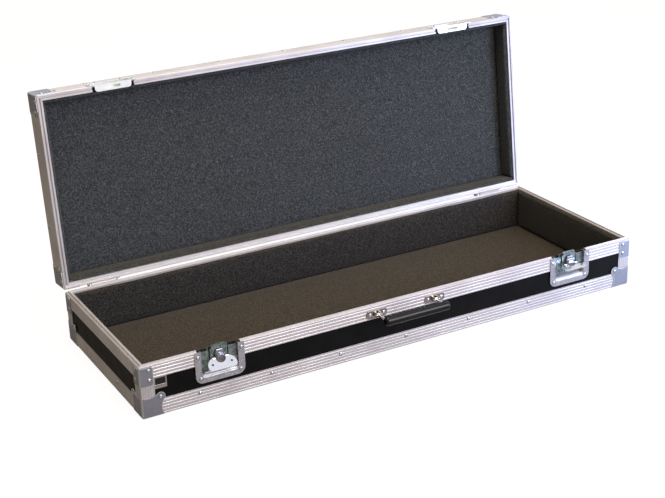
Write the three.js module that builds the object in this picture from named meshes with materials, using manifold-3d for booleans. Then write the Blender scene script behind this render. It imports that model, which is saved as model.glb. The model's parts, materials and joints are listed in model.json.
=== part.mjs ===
// A flight case for a keyboard, with its lid open. Millimetres, +Z up, the front faces -Y, X along the case.
// Pieces are placed from the centre of the bottom board's underside. At the end the whole part is set down
// on the origin, under its own middle.
// Laminated boards sit in aluminium edging. The base rail's tongue closes into the lid rail's groove.
// Two recessed twist latches hold the lid, and two stop hinges at the back let it open just past upright.

import * as THREE from 'three';
import { RoundedBoxGeometry } from 'three/addons/geometries/RoundedBoxGeometry.js';
import { mergeVertices } from 'three/addons/utils/BufferGeometryUtils.js';
import Module from 'manifold-3d';

const wasm = await Module();
wasm.setup();

// Overall sizes, measured over the edging
const caseLength = 1230;
const caseDepth = 436;
const baseHeight = 114;
const lidHeight = 61;

// Poses in which the moving pieces are shown
const lidOpenAngle = THREE.MathUtils.degToRad(96.2);
const handleRaisedAngle = THREE.MathUtils.degToRad(90);
const leftWingAngle = THREE.MathUtils.degToRad(45);
const rightWingAngle = THREE.MathUtils.degToRad(80);

// Clearances, and one overrun for every cut
const seatGap = 0.3;
const runningGap = 0.08;
const joinGap = 0.3;
const cutOverrun = 2;

// How finely round shapes are drawn
const curveSteps = 5;
const rodSides = 16;
const turnedSides = 28;
const gripEndSteps = 4;
const gripRingPoints = 24;

// Boards and linings
const boardThickness = 9;
const liningThickness = 8;
const liningFloor = 5;
const liningDrop = 3;

// Aluminium edging: a plain angle with fine lines along its faces
const edgingWall = 1.5;
const edgingLeg = 30;
const bottomSideLeg = 35;
const edgingRound = 1.2;
const edgingLines = 5;
const lineWidth = 1.8;
const lineDepth = 0.5;
const mitreGap = 0.15;

// Join rails: the base rail carries a tongue and the lid rail a groove
const railLeg = 30;
const railWeb = 2;
const railInnerLeg = 12;
const railLines = 4;
const railLineWidth = 3;
const railLineDepth = 0.9;
const tongueWidth = 3.2;
const tongueHeight = 3;
const tongueTaper = 0.6;
const tongueGap = 0.5;

// Pressed steel corners and braces
const steelWall = 1.2;
const steelRound = 4.5;
const steelInnerRound = 0.8;
const cornerReach = 46;
const cornerWaistAlong = 37;
const cornerWaistAcross = 22;
const lugPlace = 40.5;
const lugRadius = 10.5;
const lugTurn = THREE.MathUtils.degToRad(20);
const lidSkirtWidth = 39;
const lidSkirtRound = 4;
const braceWidth = 29;
const braceHeight = 42;
const braceDrop = 3;
const braceCornerRound = 6;

// Latch dishes, in a frame with the latch's middle, the edging's front face and the join at zero
const latchFromEnd = 174;
const dishWidth = 110;
const dishBelowJoin = 70.5;
const dishAboveJoin = 36;
const dishCornerRound = 16;
const panWidth = 84.4;
const panBelowJoin = 60;
const panAboveJoin = 26;
const panDepth = 14;
const panCornerRound = 8;
const panFloorRound = 7;
const panStepWidth = 19;
const panStepHeight = 41;
const panStepDrop = 4;
const panStepDepth = 8.8;
const panSlotInset = 3;
const panSlotHeight = 3.4;
const railNotchWidth = 97;
const panRelief = 0.8;

// Latch mechanism
const camDrop = 22;
const camRadius = 10.5;
const camBack = 1.8;
const camChamfer = 1;
const yokeRadius = 10;
const yokeWidth = 3;
const yokeRise = 8.5;
const yokeThickness = 2.5;
const spindleRadius = 3;
const spindleHeadRadius = 5.5;
const spindleHeadThickness = 1.6;
const eccentricRadius = 5;
const hookPull = 2.4;
const hookDraw = 3;
const hookThickness = 1.6;
const hookSet = 4;
const hookShoulder = 1.5;
const hookBodyWidth = 38;
const hookBodyLength = 32.5;
const hookBodyRound = 5;
const clawWidth = 31;
const clawLip = 3.2;
const clawThickness = 1.4;
const slotRelief = 0.8;

// Wing of the latch, drawn folded down from its fold axis
const wingThickness = 1.8;
const wingLength = 25;
const wingHalfWidth = 31.5;
const wingBottomHalfWidth = 25;
const wingShoulder = 13;
const wingHoleRadius = 2.6;
const wingHoleAcross = 21;
const wingHoleDown = 12;
const wingNotchGap = 0.8;
const wingBarrelRadius = 2.2;
const wingBarrelLength = 6;
const wingPinRadius = 1.2;

// Carrying handle
const handleSpacing = 146;
const handleBelowJoin = 18.5;
const handlePivotProud = 9;
const handleDrop = 38;
const gripWidth = 21;
const gripThickness = 20;
const gripPastArm = 3;
const gripEndRound = 5;
const gripSquareness = 0.75;
const armWidth = 7;
const armThickness = 6.4;
const armRound = 1.6;
const armBossRadius = 4.6;
const pivotPinRadius = 1.8;
const bracketLength = 50;
const bracketHeight = 16;
const bracketThickness = 1.5;
const bracketCornerRound = 5;
const earThickness = 2;
const earRadius = 5;

// Stop hinges on the back
const hingeFromEnd = 92.5;
const leafWidth = 76;
const leafHeight = 26;
const leafThickness = 1.5;
const leafCornerRound = 4;
const knuckleRadius = 3.5;
const knuckleCount = 5;
const barrelLength = 58;
const hingePinRadius = 1.75;
const stopFromMiddle = 33;
const stopThickness = 2;
const stopHeight = 16;
const stopInner = 4.5;
const stopOuter = 9.5;

// Derived places
const halfLength = caseLength / 2;
const halfDepth = caseDepth / 2;
const joinLevel = baseHeight - edgingWall;
const boardInset = edgingWall + seatGap;
const boardInner = boardInset + boardThickness + seatGap;
const railWidth = boardInner + edgingWall;
const liningInset = railWidth + seatGap - boardInner;
const grooveHalf = tongueWidth / 2 + tongueGap;
const grooveDepth = tongueHeight + tongueGap;
const boardEdgeDrop = grooveDepth + railWeb + seatGap;
const lidAngleLeg = lidHeight - railLeg - seatGap;
const lidTop = joinLevel + joinGap + lidHeight;
const steelReachOut = seatGap + steelWall;
const latchMiddle = halfLength - latchFromEnd;
const dishFront = -steelReachOut;
const panFloor = panDepth - steelWall;
const panRoomHalf = panWidth / 2 + panRelief;
const spindleHeadBack = panDepth + seatGap + spindleHeadThickness;
const throwHalf = hookPull / 2;
const lidFace = joinLevel + joinGap;
const lidBoardUnder = lidTop - edgingWall - seatGap - boardThickness;
const wingAxisProud = steelReachOut + seatGap + wingThickness / 2;
const camProud = wingAxisProud + wingBarrelRadius;

// Colours and finishes
const finish = (color, roughness, metalness) => ({ color, roughness, metalness });
const laminate = finish('#17161a', 0.5, 0);
const aluminium = finish('#c4bfc6', 0.35, 1);
const zincSteel = finish('#8f949b', 0.4, 1);
const latchSteel = finish('#a3a9ae', 0.35, 1);
const nickel = finish('#e6e8ea', 0.2, 1);
const gripPlastic = finish('#1b1d1d', 0.35, 0);
const baseFelt = finish('#2e2a22', 0.95, 0);
const lidFelt = finish('#26292e', 0.95, 0);

const hingeAxis = {
  y: halfDepth + seatGap + knuckleRadius,
  z: joinLevel + joinGap / 2,
};

const hands = [
  ['left', -1],
  ['right', 1],
];

const model = new THREE.Group();

// Adds a named mesh of the given finish to a group
function addPiece(parent, name, geometry, look) {
  const mesh = new THREE.Mesh(geometry, new THREE.MeshStandardMaterial(look));
  mesh.name = name;
  parent.add(mesh);
  return mesh;
}

// Turns a closed geometry into a solid that can be joined and cut
function toSolid(geometry) {
  const bare = geometry.clone();
  bare.deleteAttribute('normal');
  bare.deleteAttribute('uv');
  const merged = mergeVertices(bare);
  const vertProperties = new Float32Array(merged.attributes.position.array);
  const triVerts = new Uint32Array(merged.index.array);
  return new wasm.Manifold(new wasm.Mesh({ numProp: 3, vertProperties, triVerts }));
}

// Turns a solid back into a geometry
function toGeometry(body) {
  const mesh = body.getMesh();
  const geometry = new THREE.BufferGeometry();
  geometry.setAttribute('position', new THREE.BufferAttribute(mesh.vertProperties, mesh.numProp));
  geometry.setIndex(new THREE.BufferAttribute(mesh.triVerts, 1));
  geometry.computeVertexNormals();
  return geometry;
}

const join = (first, ...rest) => rest.reduce((body, next) => body.add(next), first);
const cut = (first, ...rest) => rest.reduce((body, next) => body.subtract(next), first);

// A closed outline from pairs of numbers
const outline = (points) => new THREE.Shape(points.map(([x, y]) => new THREE.Vector2(x, y)));

function extrude(shape, depth) {
  return new THREE.ExtrudeGeometry(shape, { depth, bevelEnabled: false, curveSegments: curveSteps });
}

// Extrudes an outline drawn in Y and Z along X
function alongX(shape, from, to) {
  const turn = new THREE.Matrix4().makeBasis(
    new THREE.Vector3(0, 1, 0),
    new THREE.Vector3(0, 0, 1),
    new THREE.Vector3(1, 0, 0),
  );
  return extrude(shape, to - from).applyMatrix4(turn).translate(from, 0, 0);
}

// Extrudes an outline drawn in X and Z, as seen from the front, from the front face to the back face
function alongY(shape, front, back) {
  return extrude(shape, back - front).rotateX(Math.PI / 2).translate(0, back, 0);
}

function alongZ(shape, from, to) {
  return extrude(shape, to - from).translate(0, 0, from);
}

// A block between two opposite corners, given in any order
function block(one, other) {
  const size = one.map((value, axis) => Math.abs(other[axis] - value));
  const middle = one.map((value, axis) => (value + other[axis]) / 2);
  return new THREE.BoxGeometry(...size).translate(...middle);
}

// A block centred on the origin in X and Y, given by its half sizes and by two levels in any order
const slab = (halfX, halfY, one, other) => toSolid(block([-halfX, -halfY, one], [halfX, halfY, other]));

// Round rods between two places, given in any order
function rodAlongX(radius, one, other) {
  const rod = new THREE.CylinderGeometry(radius, radius, Math.abs(other - one), rodSides);
  return rod.rotateZ(Math.PI / 2).translate((one + other) / 2, 0, 0);
}

function rodAlongY(radius, one, other) {
  const rod = new THREE.CylinderGeometry(radius, radius, Math.abs(other - one), rodSides);
  return rod.translate(0, (one + other) / 2, 0);
}

// A rectangle whose corners have their own radii: left low, right low, right high, left high
function roundedRectangle(left, right, low, high, [leftLow, rightLow, rightHigh, leftHigh]) {
  const shape = new THREE.Shape();
  shape.moveTo(left + leftLow, low);
  shape.lineTo(right - rightLow, low);
  if (rightLow) shape.absarc(right - rightLow, low + rightLow, rightLow, -Math.PI / 2, 0);
  shape.lineTo(right, high - rightHigh);
  if (rightHigh) shape.absarc(right - rightHigh, high - rightHigh, rightHigh, 0, Math.PI / 2);
  shape.lineTo(left + leftHigh, high);
  if (leftHigh) shape.absarc(left + leftHigh, high - leftHigh, leftHigh, Math.PI / 2, Math.PI);
  shape.lineTo(left, low + leftLow);
  if (leftLow) shape.absarc(left + leftLow, low + leftLow, leftLow, Math.PI, 1.5 * Math.PI);
  return shape;
}

// Points of a straight face with shallow lines cut into it. The face runs from start to end,
// and the lines go in along the vector inward.
function linedFace(start, end, inward, count, width, depth) {
  const length = Math.hypot(end[0] - start[0], end[1] - start[1]);
  const along = [(end[0] - start[0]) / length, (end[1] - start[1]) / length];
  const at = (run, deep) => [0, 1].map((axis) => start[axis] + along[axis] * run + inward[axis] * deep);
  const points = [start];
  for (let line = 0; line < count; line += 1) {
    const middle = (length * (line + 0.5)) / count;
    points.push(at(middle - width / 2, 0), at(middle, depth), at(middle + width / 2, 0));
  }
  points.push(end);
  return points;
}

// Section of the plain angle: one leg runs inward from the outer face, and the other runs up, or down
// where the direction is -1
function angleSection(uprightLeg, levelLeg, direction = 1) {
  const upright = linedFace([0, uprightLeg], [0, edgingRound], [1, 0], edgingLines, lineWidth, lineDepth);
  const level = linedFace([edgingRound, 0], [levelLeg, 0], [0, 1], edgingLines, lineWidth, lineDepth);
  const points = [
    ...upright,
    ...level,
    [levelLeg, edgingWall],
    [edgingWall, edgingWall],
    [edgingWall, uprightLeg],
  ];
  return outline(points.map(([inward, up]) => [inward, direction * up]));
}

// Section of the base rail, drawn down from the join, with its tongue standing up
function tongueSection() {
  const middle = railWidth / 2;
  const inner = railWidth - edgingWall;
  const face = linedFace([0, -railLeg], [0, -edgingRound], [1, 0], railLines, railLineWidth, railLineDepth);
  return outline([
    ...face,
    [edgingRound, 0],
    [middle - tongueWidth / 2, 0],
    [middle - tongueWidth / 2 + tongueTaper, tongueHeight],
    [middle + tongueWidth / 2 - tongueTaper, tongueHeight],
    [middle + tongueWidth / 2, 0],
    [railWidth, 0],
    [railWidth, -railInnerLeg],
    [inner, -railInnerLeg],
    [inner, -railWeb],
    [edgingWall, -railWeb],
    [edgingWall, -railLeg],
  ]);
}

// Section of the lid rail, drawn up from the join, with the web folded round its groove
function grooveSection() {
  const middle = railWidth / 2;
  const inner = railWidth - edgingWall;
  const hatHalf = grooveHalf + edgingWall;
  const face = linedFace([0, edgingRound], [0, railLeg], [1, 0], railLines, railLineWidth, railLineDepth);
  return outline([
    ...face,
    [edgingWall, railLeg],
    [edgingWall, railWeb],
    [middle - hatHalf, railWeb],
    [middle - hatHalf, grooveDepth + railWeb],
    [middle + hatHalf, grooveDepth + railWeb],
    [middle + hatHalf, railWeb],
    [inner, railWeb],
    [inner, railInnerLeg],
    [railWidth, railInnerLeg],
    [railWidth, 0],
    [middle + grooveHalf, 0],
    [middle + grooveHalf - tongueTaper, grooveDepth],
    [middle - grooveHalf + tongueTaper, grooveDepth],
    [middle - grooveHalf, 0],
    [edgingRound, 0],
  ]);
}

// A bar of edging along X with its outer face at y = 0. A mitred end slants in with the distance
// from that face.
function edgingBar(section, from, to, mitredStart = true, mitredEnd = true) {
  const bar = alongX(section, from, to);
  const position = bar.attributes.position;
  const middle = (from + to) / 2;
  for (let i = 0; i < position.count; i += 1) {
    const atStart = position.getX(i) < middle;
    const slant = position.getY(i) + mitreGap;
    if (atStart && mitredStart) position.setX(i, from + slant);
    if (!atStart && mitredEnd) position.setX(i, to - slant);
  }
  return bar;
}

const sides = [
  { side: 'front', turn: 0, length: caseLength, place: [0, -halfDepth] },
  { side: 'right', turn: Math.PI / 2, length: caseDepth, place: [halfLength, 0] },
  { side: 'back', turn: Math.PI, length: caseLength, place: [0, halfDepth] },
  { side: 'left', turn: -Math.PI / 2, length: caseDepth, place: [-halfLength, 0] },
];

// Puts one mitred bar on each of the given sides of the case, at one height
function addEdgingRing(parent, name, section, level, onSides = sides) {
  for (const { side, turn, length, place } of onSides) {
    const bar = edgingBar(section, -length / 2, length / 2);
    const mesh = addPiece(parent, `${name}_${side}`, bar, aluminium);
    mesh.rotation.z = turn;
    mesh.position.set(...place, level);
  }
}

const sidesBehindFront = sides.slice(1);

const corners = [
  { corner: 'front_left', turn: 0, place: [-halfLength, -halfDepth] },
  { corner: 'front_right', turn: Math.PI / 2, place: [halfLength, -halfDepth] },
  { corner: 'back_right', turn: Math.PI, place: [halfLength, halfDepth] },
  { corner: 'back_left', turn: -Math.PI / 2, place: [-halfLength, halfDepth] },
];

// Puts a piece that is drawn at the front left corner on each corner, at one height
function addAtCorners(parent, name, geometry, look, level) {
  for (const { corner, turn, place } of corners) {
    const mesh = addPiece(parent, `${name}_${corner}`, geometry.clone(), look);
    mesh.rotation.z = turn;
    mesh.position.set(...place, level);
  }
}

// Outline of one face of a pressed corner: a quarter patch with a riveted lug on its diagonal
function cornerFace() {
  const start = -steelReachOut - cutOverrun;
  const shape = new THREE.Shape();
  shape.moveTo(start, start);
  shape.lineTo(cornerReach, start);
  shape.lineTo(cornerReach, 0);
  shape.quadraticCurveTo(
    cornerWaistAlong,
    cornerWaistAcross,
    lugPlace + lugRadius * Math.cos(lugTurn),
    lugPlace - lugRadius * Math.sin(lugTurn),
  );
  shape.absarc(lugPlace, lugPlace, lugRadius, -lugTurn, Math.PI / 2 + lugTurn);
  shape.quadraticCurveTo(cornerWaistAcross, cornerWaistAlong, 0, cornerReach);
  shape.lineTo(start, cornerReach);
  return shape;
}

// A shell with rounded edges round a corner at the origin that lies towards +X, +Y and +Z
function cornerShell(reach) {
  const shellBox = (out, round) => {
    const size = 2 * (reach + out);
    return new RoundedBoxGeometry(size, size, size, 2, round).translate(reach, reach, reach);
  };
  const outer = toSolid(shellBox(steelReachOut, steelRound));
  const inner = toSolid(shellBox(seatGap, steelInnerRound));
  return cut(outer, inner);
}

// A pressed steel corner on the three faces that meet at the origin. A skirt that has a height goes up
// both sides.
function steelCorner(skirtHeight = 0) {
  const face = cornerFace();
  const low = -steelReachOut - cutOverrun;
  const trims = [
    toSolid(alongZ(face, low, steelRound)),
    toSolid(alongX(face, low, steelRound)),
    toSolid(alongY(face, low, steelRound)),
  ];
  if (skirtHeight) {
    const rounds = [0, 0, lidSkirtRound, 0];
    const skirt = roundedRectangle(low, lidSkirtWidth, 0, skirtHeight, rounds);
    trims.push(toSolid(alongX(skirt, low, steelRound)), toSolid(alongY(skirt, low, steelRound)));
  }
  const reach = Math.max(lugPlace + lugRadius, skirtHeight) + cutOverrun;
  return toGeometry(cornerShell(reach).intersect(join(...trims)));
}

// A brace folded round an upright edge, standing up from the origin
function steelBrace() {
  const low = -steelReachOut - cutOverrun;
  const round = braceCornerRound;
  const fold = (out, bend) => {
    const shape = new THREE.Shape();
    const reach = braceWidth + cutOverrun;
    shape.moveTo(-out + bend, -out);
    shape.lineTo(reach, -out);
    shape.lineTo(reach, reach);
    shape.lineTo(-out, reach);
    shape.lineTo(-out, -out + bend);
    shape.absarc(-out + bend, -out + bend, bend, Math.PI, 1.5 * Math.PI);
    return toSolid(alongZ(shape, -cutOverrun, braceHeight + cutOverrun));
  };
  const shell = cut(fold(steelReachOut, steelRound), fold(seatGap, steelInnerRound));
  const flap = roundedRectangle(low, braceWidth, 0, braceHeight, [0, round, round, 0]);
  const trims = join(
    toSolid(alongY(flap, low, steelRound)),
    toSolid(alongX(flap, low, steelRound)),
  );
  return toGeometry(shell.intersect(trims));
}

// Boards of the base. The front board is cut away where the latch pans go through it.
function addBaseBoards(parent) {
  const x = halfLength - boardInset;
  const y = halfDepth - boardInset;
  const innerX = x - boardThickness;
  const innerY = y - boardThickness;
  const low = boardThickness + seatGap;
  const high = joinLevel - boardEdgeDrop;
  const panLow = joinLevel - panBelowJoin - panRelief;
  addPiece(parent, 'base_bottom_board', block([-x, -y, 0], [x, y, boardThickness]), laminate);
  const notches = [-latchMiddle, latchMiddle].map((middle) => toSolid(block(
    [middle - panRoomHalf, -halfDepth, panLow],
    [middle + panRoomHalf, -innerY, high + cutOverrun],
  )));
  const front = cut(toSolid(block([-x, -y, low], [x, -innerY, high])), ...notches);
  addPiece(parent, 'base_board_front', toGeometry(front), laminate);
  addPiece(parent, 'base_board_back', block([-x, innerY, low], [x, y, high]), laminate);
  for (const [side, hand] of hands) {
    const wall = block([hand * innerX, seatGap - innerY, low], [hand * x, innerY - seatGap, high]);
    addPiece(parent, `base_board_${side}`, wall, laminate);
  }
}

// The base rail is one bar a side, and three bars at the front, where the latches stand between them
function addBaseRails(parent) {
  const section = tongueSection();
  addEdgingRing(parent, 'base_rail', section, joinLevel, sidesBehindFront);
  const near = latchMiddle - railNotchWidth / 2;
  const far = latchMiddle + railNotchWidth / 2;
  const bars = [
    ['left', -halfLength, -far, true, false],
    ['middle', -near, near, false, false],
    ['right', far, halfLength, false, true],
  ];
  for (const [part, from, to, mitredStart, mitredEnd] of bars) {
    const bar = edgingBar(section, from, to, mitredStart, mitredEnd);
    const mesh = addPiece(parent, `base_rail_front_${part}`, bar, aluminium);
    mesh.position.set(0, -halfDepth, joinLevel);
  }
}

// Angles up the four corners of the base, between the bottom angles and the rails
function addUprights(parent) {
  const low = bottomSideLeg - edgingWall + seatGap;
  const high = joinLevel - railLeg - seatGap;
  const upright = alongZ(angleSection(edgingLeg, edgingLeg), 0, high - low);
  addAtCorners(parent, 'base_upright', upright, aluminium, low);
}

// A felted tray between its floor's level and its edge's level. Its walls step in round the rail's inner
// leg, and each latch has a pocket that goes in from the front to one place and from the edge to one level.
function felted(floorLevel, stepLevel, edgeLevel, pocketBack, pocketLevel) {
  const outward = Math.sign(edgeLevel - floorLevel);
  const x = halfLength - boardInner;
  const y = halfDepth - boardInner;
  const reach = liningInset + liningThickness;
  const pastEdge = edgeLevel + outward * cutOverrun;
  const room = slab(x - reach, y - reach, floorLevel + outward * liningFloor, pastEdge);
  const pockets = [-latchMiddle, latchMiddle].map((middle) => toSolid(block(
    [middle - panRoomHalf, -halfDepth, pocketLevel],
    [middle + panRoomHalf, pocketBack - halfDepth, pastEdge],
  )));
  return cut(
    join(
      slab(x, y, floorLevel, stepLevel),
      slab(x - liningInset, y - liningInset, floorLevel, edgeLevel),
    ),
    room,
    ...pockets,
  );
}

// A pan's outline in X and Z drawn in to a depth, with its side walls turning round into its floor.
// The slack is how far the walls stand inside the pan's outer ones.
function drawnPan(face, front, depth, slack) {
  const half = panWidth / 2 - slack;
  const round = panFloorRound - slack;
  const plan = roundedRectangle(-half, half, front, depth, [0, 0, round, round]);
  const reach = panBelowJoin + cutOverrun;
  return toSolid(alongY(face, front, depth)).intersect(toSolid(alongZ(plan, -reach, reach)));
}

// The front dish of a latch, pressed from sheet and open at the join. A flange goes round the pan that
// holds the mechanism. The pan's floor steps forward on each side of the hook, with a slot under each step.
function latchDish() {
  const half = dishWidth / 2;
  const panHalf = panWidth / 2;
  const panInner = panHalf - steelWall;
  const pocketRound = panCornerRound - steelWall;
  const flange = roundedRectangle(-half, half, -dishBelowJoin, 0, [dishCornerRound, dishCornerRound, 0, 0]);
  const pan = roundedRectangle(-panHalf, panHalf, -panBelowJoin, 0, [panCornerRound, panCornerRound, 0, 0]);
  const pocket = roundedRectangle(
    -panInner,
    panInner,
    -panBelowJoin + steelWall,
    cutOverrun,
    [pocketRound, pocketRound, 0, 0],
  );
  const pressed = drawnPan(pan, -seatGap - steelWall / 2, panDepth, 0);
  const stepFront = panDepth - panStepDepth;
  const onBothSides = (outer, inner, [front, low], [back, high]) => hands.map(([, hand]) => (
    toSolid(block([hand * outer, front, low], [hand * inner, back, high]))
  ));
  const stepInner = panInner - panStepWidth;
  const steps = onBothSides(
    panInner + steelWall / 2,
    stepInner,
    [stepFront, -panStepHeight],
    [panDepth, -panStepDrop],
  ).map((step) => step.intersect(pressed));
  const hollows = onBothSides(
    panInner,
    stepInner + steelWall,
    [stepFront + steelWall, steelWall - panStepHeight],
    [panDepth + cutOverrun, cutOverrun],
  );
  const slots = onBothSides(
    panInner - panSlotInset,
    stepInner + panSlotInset,
    [panFloor - cutOverrun, -panStepHeight - panSlotHeight],
    [panDepth + cutOverrun, -panStepHeight],
  );
  const shell = cut(
    join(
      toSolid(alongY(flange, dishFront, -seatGap)),
      pressed,
    ),
    drawnPan(pocket, dishFront - cutOverrun, panFloor, steelWall),
  );
  const spindleHole = rodAlongY(spindleRadius + seatGap, panFloor - cutOverrun, panDepth + cutOverrun);
  return toGeometry(cut(
    join(shell, ...steps),
    ...hollows,
    ...slots,
    toSolid(spindleHole.translate(0, 0, -camDrop)),
  ));
}

// The lid's half of a latch: a shallower pan whose lower wall has the slot that the hook catches behind
function latchKeeper() {
  const half = dishWidth / 2;
  const panHalf = panWidth / 2;
  const pocketRound = panCornerRound - steelWall;
  const flange = roundedRectangle(-half, half, 0, dishAboveJoin, [0, 0, dishCornerRound, dishCornerRound]);
  const pan = roundedRectangle(-panHalf, panHalf, 0, panAboveJoin, [0, 0, panCornerRound, panCornerRound]);
  const pocket = roundedRectangle(
    -panHalf + steelWall,
    panHalf - steelWall,
    steelWall,
    panAboveJoin - steelWall,
    [0, 0, pocketRound, pocketRound],
  );
  const slotHalf = clawWidth / 2 + slotRelief;
  const slotBack = hookSet + hookThickness + clawLip + slotRelief;
  const slot = block(
    [-slotHalf, hookSet - slotRelief, -cutOverrun],
    [slotHalf, slotBack, steelWall + cutOverrun],
  );
  return toGeometry(cut(
    join(
      toSolid(alongY(flange, dishFront, -seatGap)),
      drawnPan(pan, -seatGap - steelWall / 2, panDepth, 0),
    ),
    drawnPan(pocket, dishFront - cutOverrun, panFloor, steelWall),
    toSolid(slot),
  ));
}

// The hook: a flat body with a window for the eccentric, and a claw on top with its lip turned inward
function latchHook() {
  const windowMiddle = throwHalf - camDrop;
  const windowHalfWidth = eccentricRadius + throwHalf + 2 * seatGap;
  const windowHalfHeight = eccentricRadius + 2 * seatGap;
  const bodyHalf = hookBodyWidth / 2;
  const clawHalf = clawWidth / 2;
  const back = hookSet + hookThickness;
  const lipUnder = joinGap + steelWall + seatGap + hookPull;
  const clawTop = lipUnder + clawThickness;
  const round = hookBodyRound;
  const body = roundedRectangle(
    -bodyHalf,
    bodyHalf,
    -hookShoulder - hookBodyLength,
    -hookShoulder,
    [round, round, 0, 0],
  );
  body.holes.push(roundedRectangle(
    -windowHalfWidth,
    windowHalfWidth,
    windowMiddle - windowHalfHeight,
    windowMiddle + windowHalfHeight,
    [0, 0, 0, 0],
  ));
  const claw = roundedRectangle(
    -clawHalf,
    clawHalf,
    -hookShoulder - hookThickness,
    clawTop,
    [0, 0, 0, 0],
  );
  const lip = block(
    [-clawHalf, hookSet + hookThickness / 2, lipUnder],
    [clawHalf, back + clawLip, clawTop],
  );
  return toGeometry(join(
    toSolid(alongY(body, hookSet, back)),
    toSolid(alongY(claw, hookSet, back)),
    toSolid(lip),
  ));
}

// The turning centre of a latch, about its own axis: a round boss with a bright yoke behind it, the
// eccentric that moves the hook, a spindle headed over behind the dish, and the pins for the wing
function latchCam() {
  const headFront = panDepth + seatGap;
  const profile = [
    [0, -camProud],
    [camRadius - camChamfer, -camProud],
    [camRadius, camChamfer - camProud],
    [camRadius, camBack],
    [spindleRadius, camBack],
    [spindleRadius, headFront],
    [spindleHeadRadius, headFront],
    [spindleHeadRadius, spindleHeadBack],
    [0, spindleHeadBack],
  ];
  const points = profile.map(([radius, y]) => new THREE.Vector2(radius, y));
  const turned = new THREE.LatheGeometry(points, turnedSides);
  const eccentric = rodAlongY(eccentricRadius, camBack - seatGap, panFloor - seatGap);
  const yokeInner = yokeRadius - yokeWidth;
  const yoke = new THREE.Shape();
  yoke.moveTo(yokeRadius, 0);
  yoke.absarc(0, yokeRise, yokeRadius, 0, Math.PI);
  yoke.lineTo(-yokeRadius, 0);
  yoke.lineTo(-yokeInner, 0);
  yoke.absarc(0, yokeRise, yokeInner, Math.PI, 0, true);
  yoke.lineTo(yokeInner, 0);
  const pinReach = camRadius + wingNotchGap + wingBarrelLength;
  const pins = rodAlongX(wingPinRadius, -pinReach, pinReach).translate(0, -wingAxisProud, 0);
  return toGeometry(join(
    toSolid(turned),
    toSolid(eccentric.translate(0, 0, throwHalf)),
    toSolid(alongY(yoke, camBack - yokeThickness, camBack)),
    toSolid(pins),
  ));
}

// The wing that turns the latch, about its fold axis and hanging down: two lobes round the boss,
// a straight lower edge, a finger hole in each lobe and a barrel at the root of each
function latchWing() {
  const notch = camRadius + wingNotchGap;
  const barrelEnd = notch + wingBarrelLength;
  const shoulderBend = wingHalfWidth - wingHoleRadius;
  const shape = new THREE.Shape();
  shape.moveTo(-notch, 0);
  shape.absarc(0, 0, notch, Math.PI, 2 * Math.PI);
  shape.lineTo(notch, wingBarrelRadius);
  shape.lineTo(barrelEnd, wingBarrelRadius);
  shape.quadraticCurveTo(shoulderBend, -wingThickness, wingHalfWidth, -wingShoulder);
  shape.quadraticCurveTo(wingHalfWidth, -wingLength, wingBottomHalfWidth, -wingLength);
  shape.lineTo(-wingBottomHalfWidth, -wingLength);
  shape.quadraticCurveTo(-wingHalfWidth, -wingLength, -wingHalfWidth, -wingShoulder);
  shape.quadraticCurveTo(-shoulderBend, -wingThickness, -barrelEnd, wingBarrelRadius);
  shape.lineTo(-notch, wingBarrelRadius);
  for (const [, hand] of hands) {
    const hole = new THREE.Path();
    hole.absarc(hand * wingHoleAcross, -wingHoleDown, wingHoleRadius, 0, 2 * Math.PI);
    shape.holes.push(hole);
  }
  const plate = alongY(shape, -wingThickness / 2, wingThickness / 2);
  const barrels = hands.map(([, hand]) => (
    toSolid(rodAlongX(wingBarrelRadius, hand * notch, hand * barrelEnd))
  ));
  const bore = rodAlongX(wingPinRadius + runningGap, -barrelEnd - cutOverrun, barrelEnd + cutOverrun);
  return toGeometry(cut(join(toSolid(plate), ...barrels), toSolid(bore)));
}

// The moving pieces of one latch. The wing is raised by its own angle from hanging flat.
function addLatch(parent, side, middle, wingAngle) {
  const latch = new THREE.Group();
  latch.position.set(middle, -halfDepth, joinLevel);
  parent.add(latch);
  addPiece(latch, `latch_dish_${side}`, latchDish(), latchSteel);
  addPiece(latch, `latch_hook_${side}`, latchHook(), latchSteel);
  const cam = addPiece(latch, `latch_cam_${side}`, latchCam(), zincSteel);
  cam.position.z = -camDrop;
  const wing = addPiece(latch, `latch_wing_${side}`, latchWing(), nickel);
  wing.position.set(0, -wingAxisProud, -camDrop);
  wing.rotation.x = -wingAngle;
}

// One handle bracket: a riveted plate with two ears that the handle's pin turns in, about the pin's axis
function handleBracket() {
  const plateBack = handlePivotProud - seatGap;
  const plateFront = plateBack - bracketThickness;
  const half = bracketLength / 2;
  const round = bracketCornerRound;
  const plate = roundedRectangle(
    -half,
    half,
    -bracketHeight / 2,
    bracketHeight / 2,
    [round, round, round, round],
  );
  const earRoot = (plateFront + plateBack) / 2;
  const ear = new THREE.Shape();
  ear.moveTo(earRoot, -earRadius);
  ear.lineTo(earRoot, earRadius);
  ear.lineTo(0, earRadius);
  ear.absarc(0, 0, earRadius, Math.PI / 2, 1.5 * Math.PI);
  const earInner = armWidth / 2 + 2 * seatGap;
  const ears = [earInner, -earInner - earThickness].map((start) => (
    toSolid(alongX(ear, start, start + earThickness))
  ));
  const bore = rodAlongX(pivotPinRadius + runningGap, -half, half);
  return toGeometry(cut(
    join(toSolid(alongY(plate, plateFront, plateBack)), ...ears),
    toSolid(bore),
  ));
}

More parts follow.
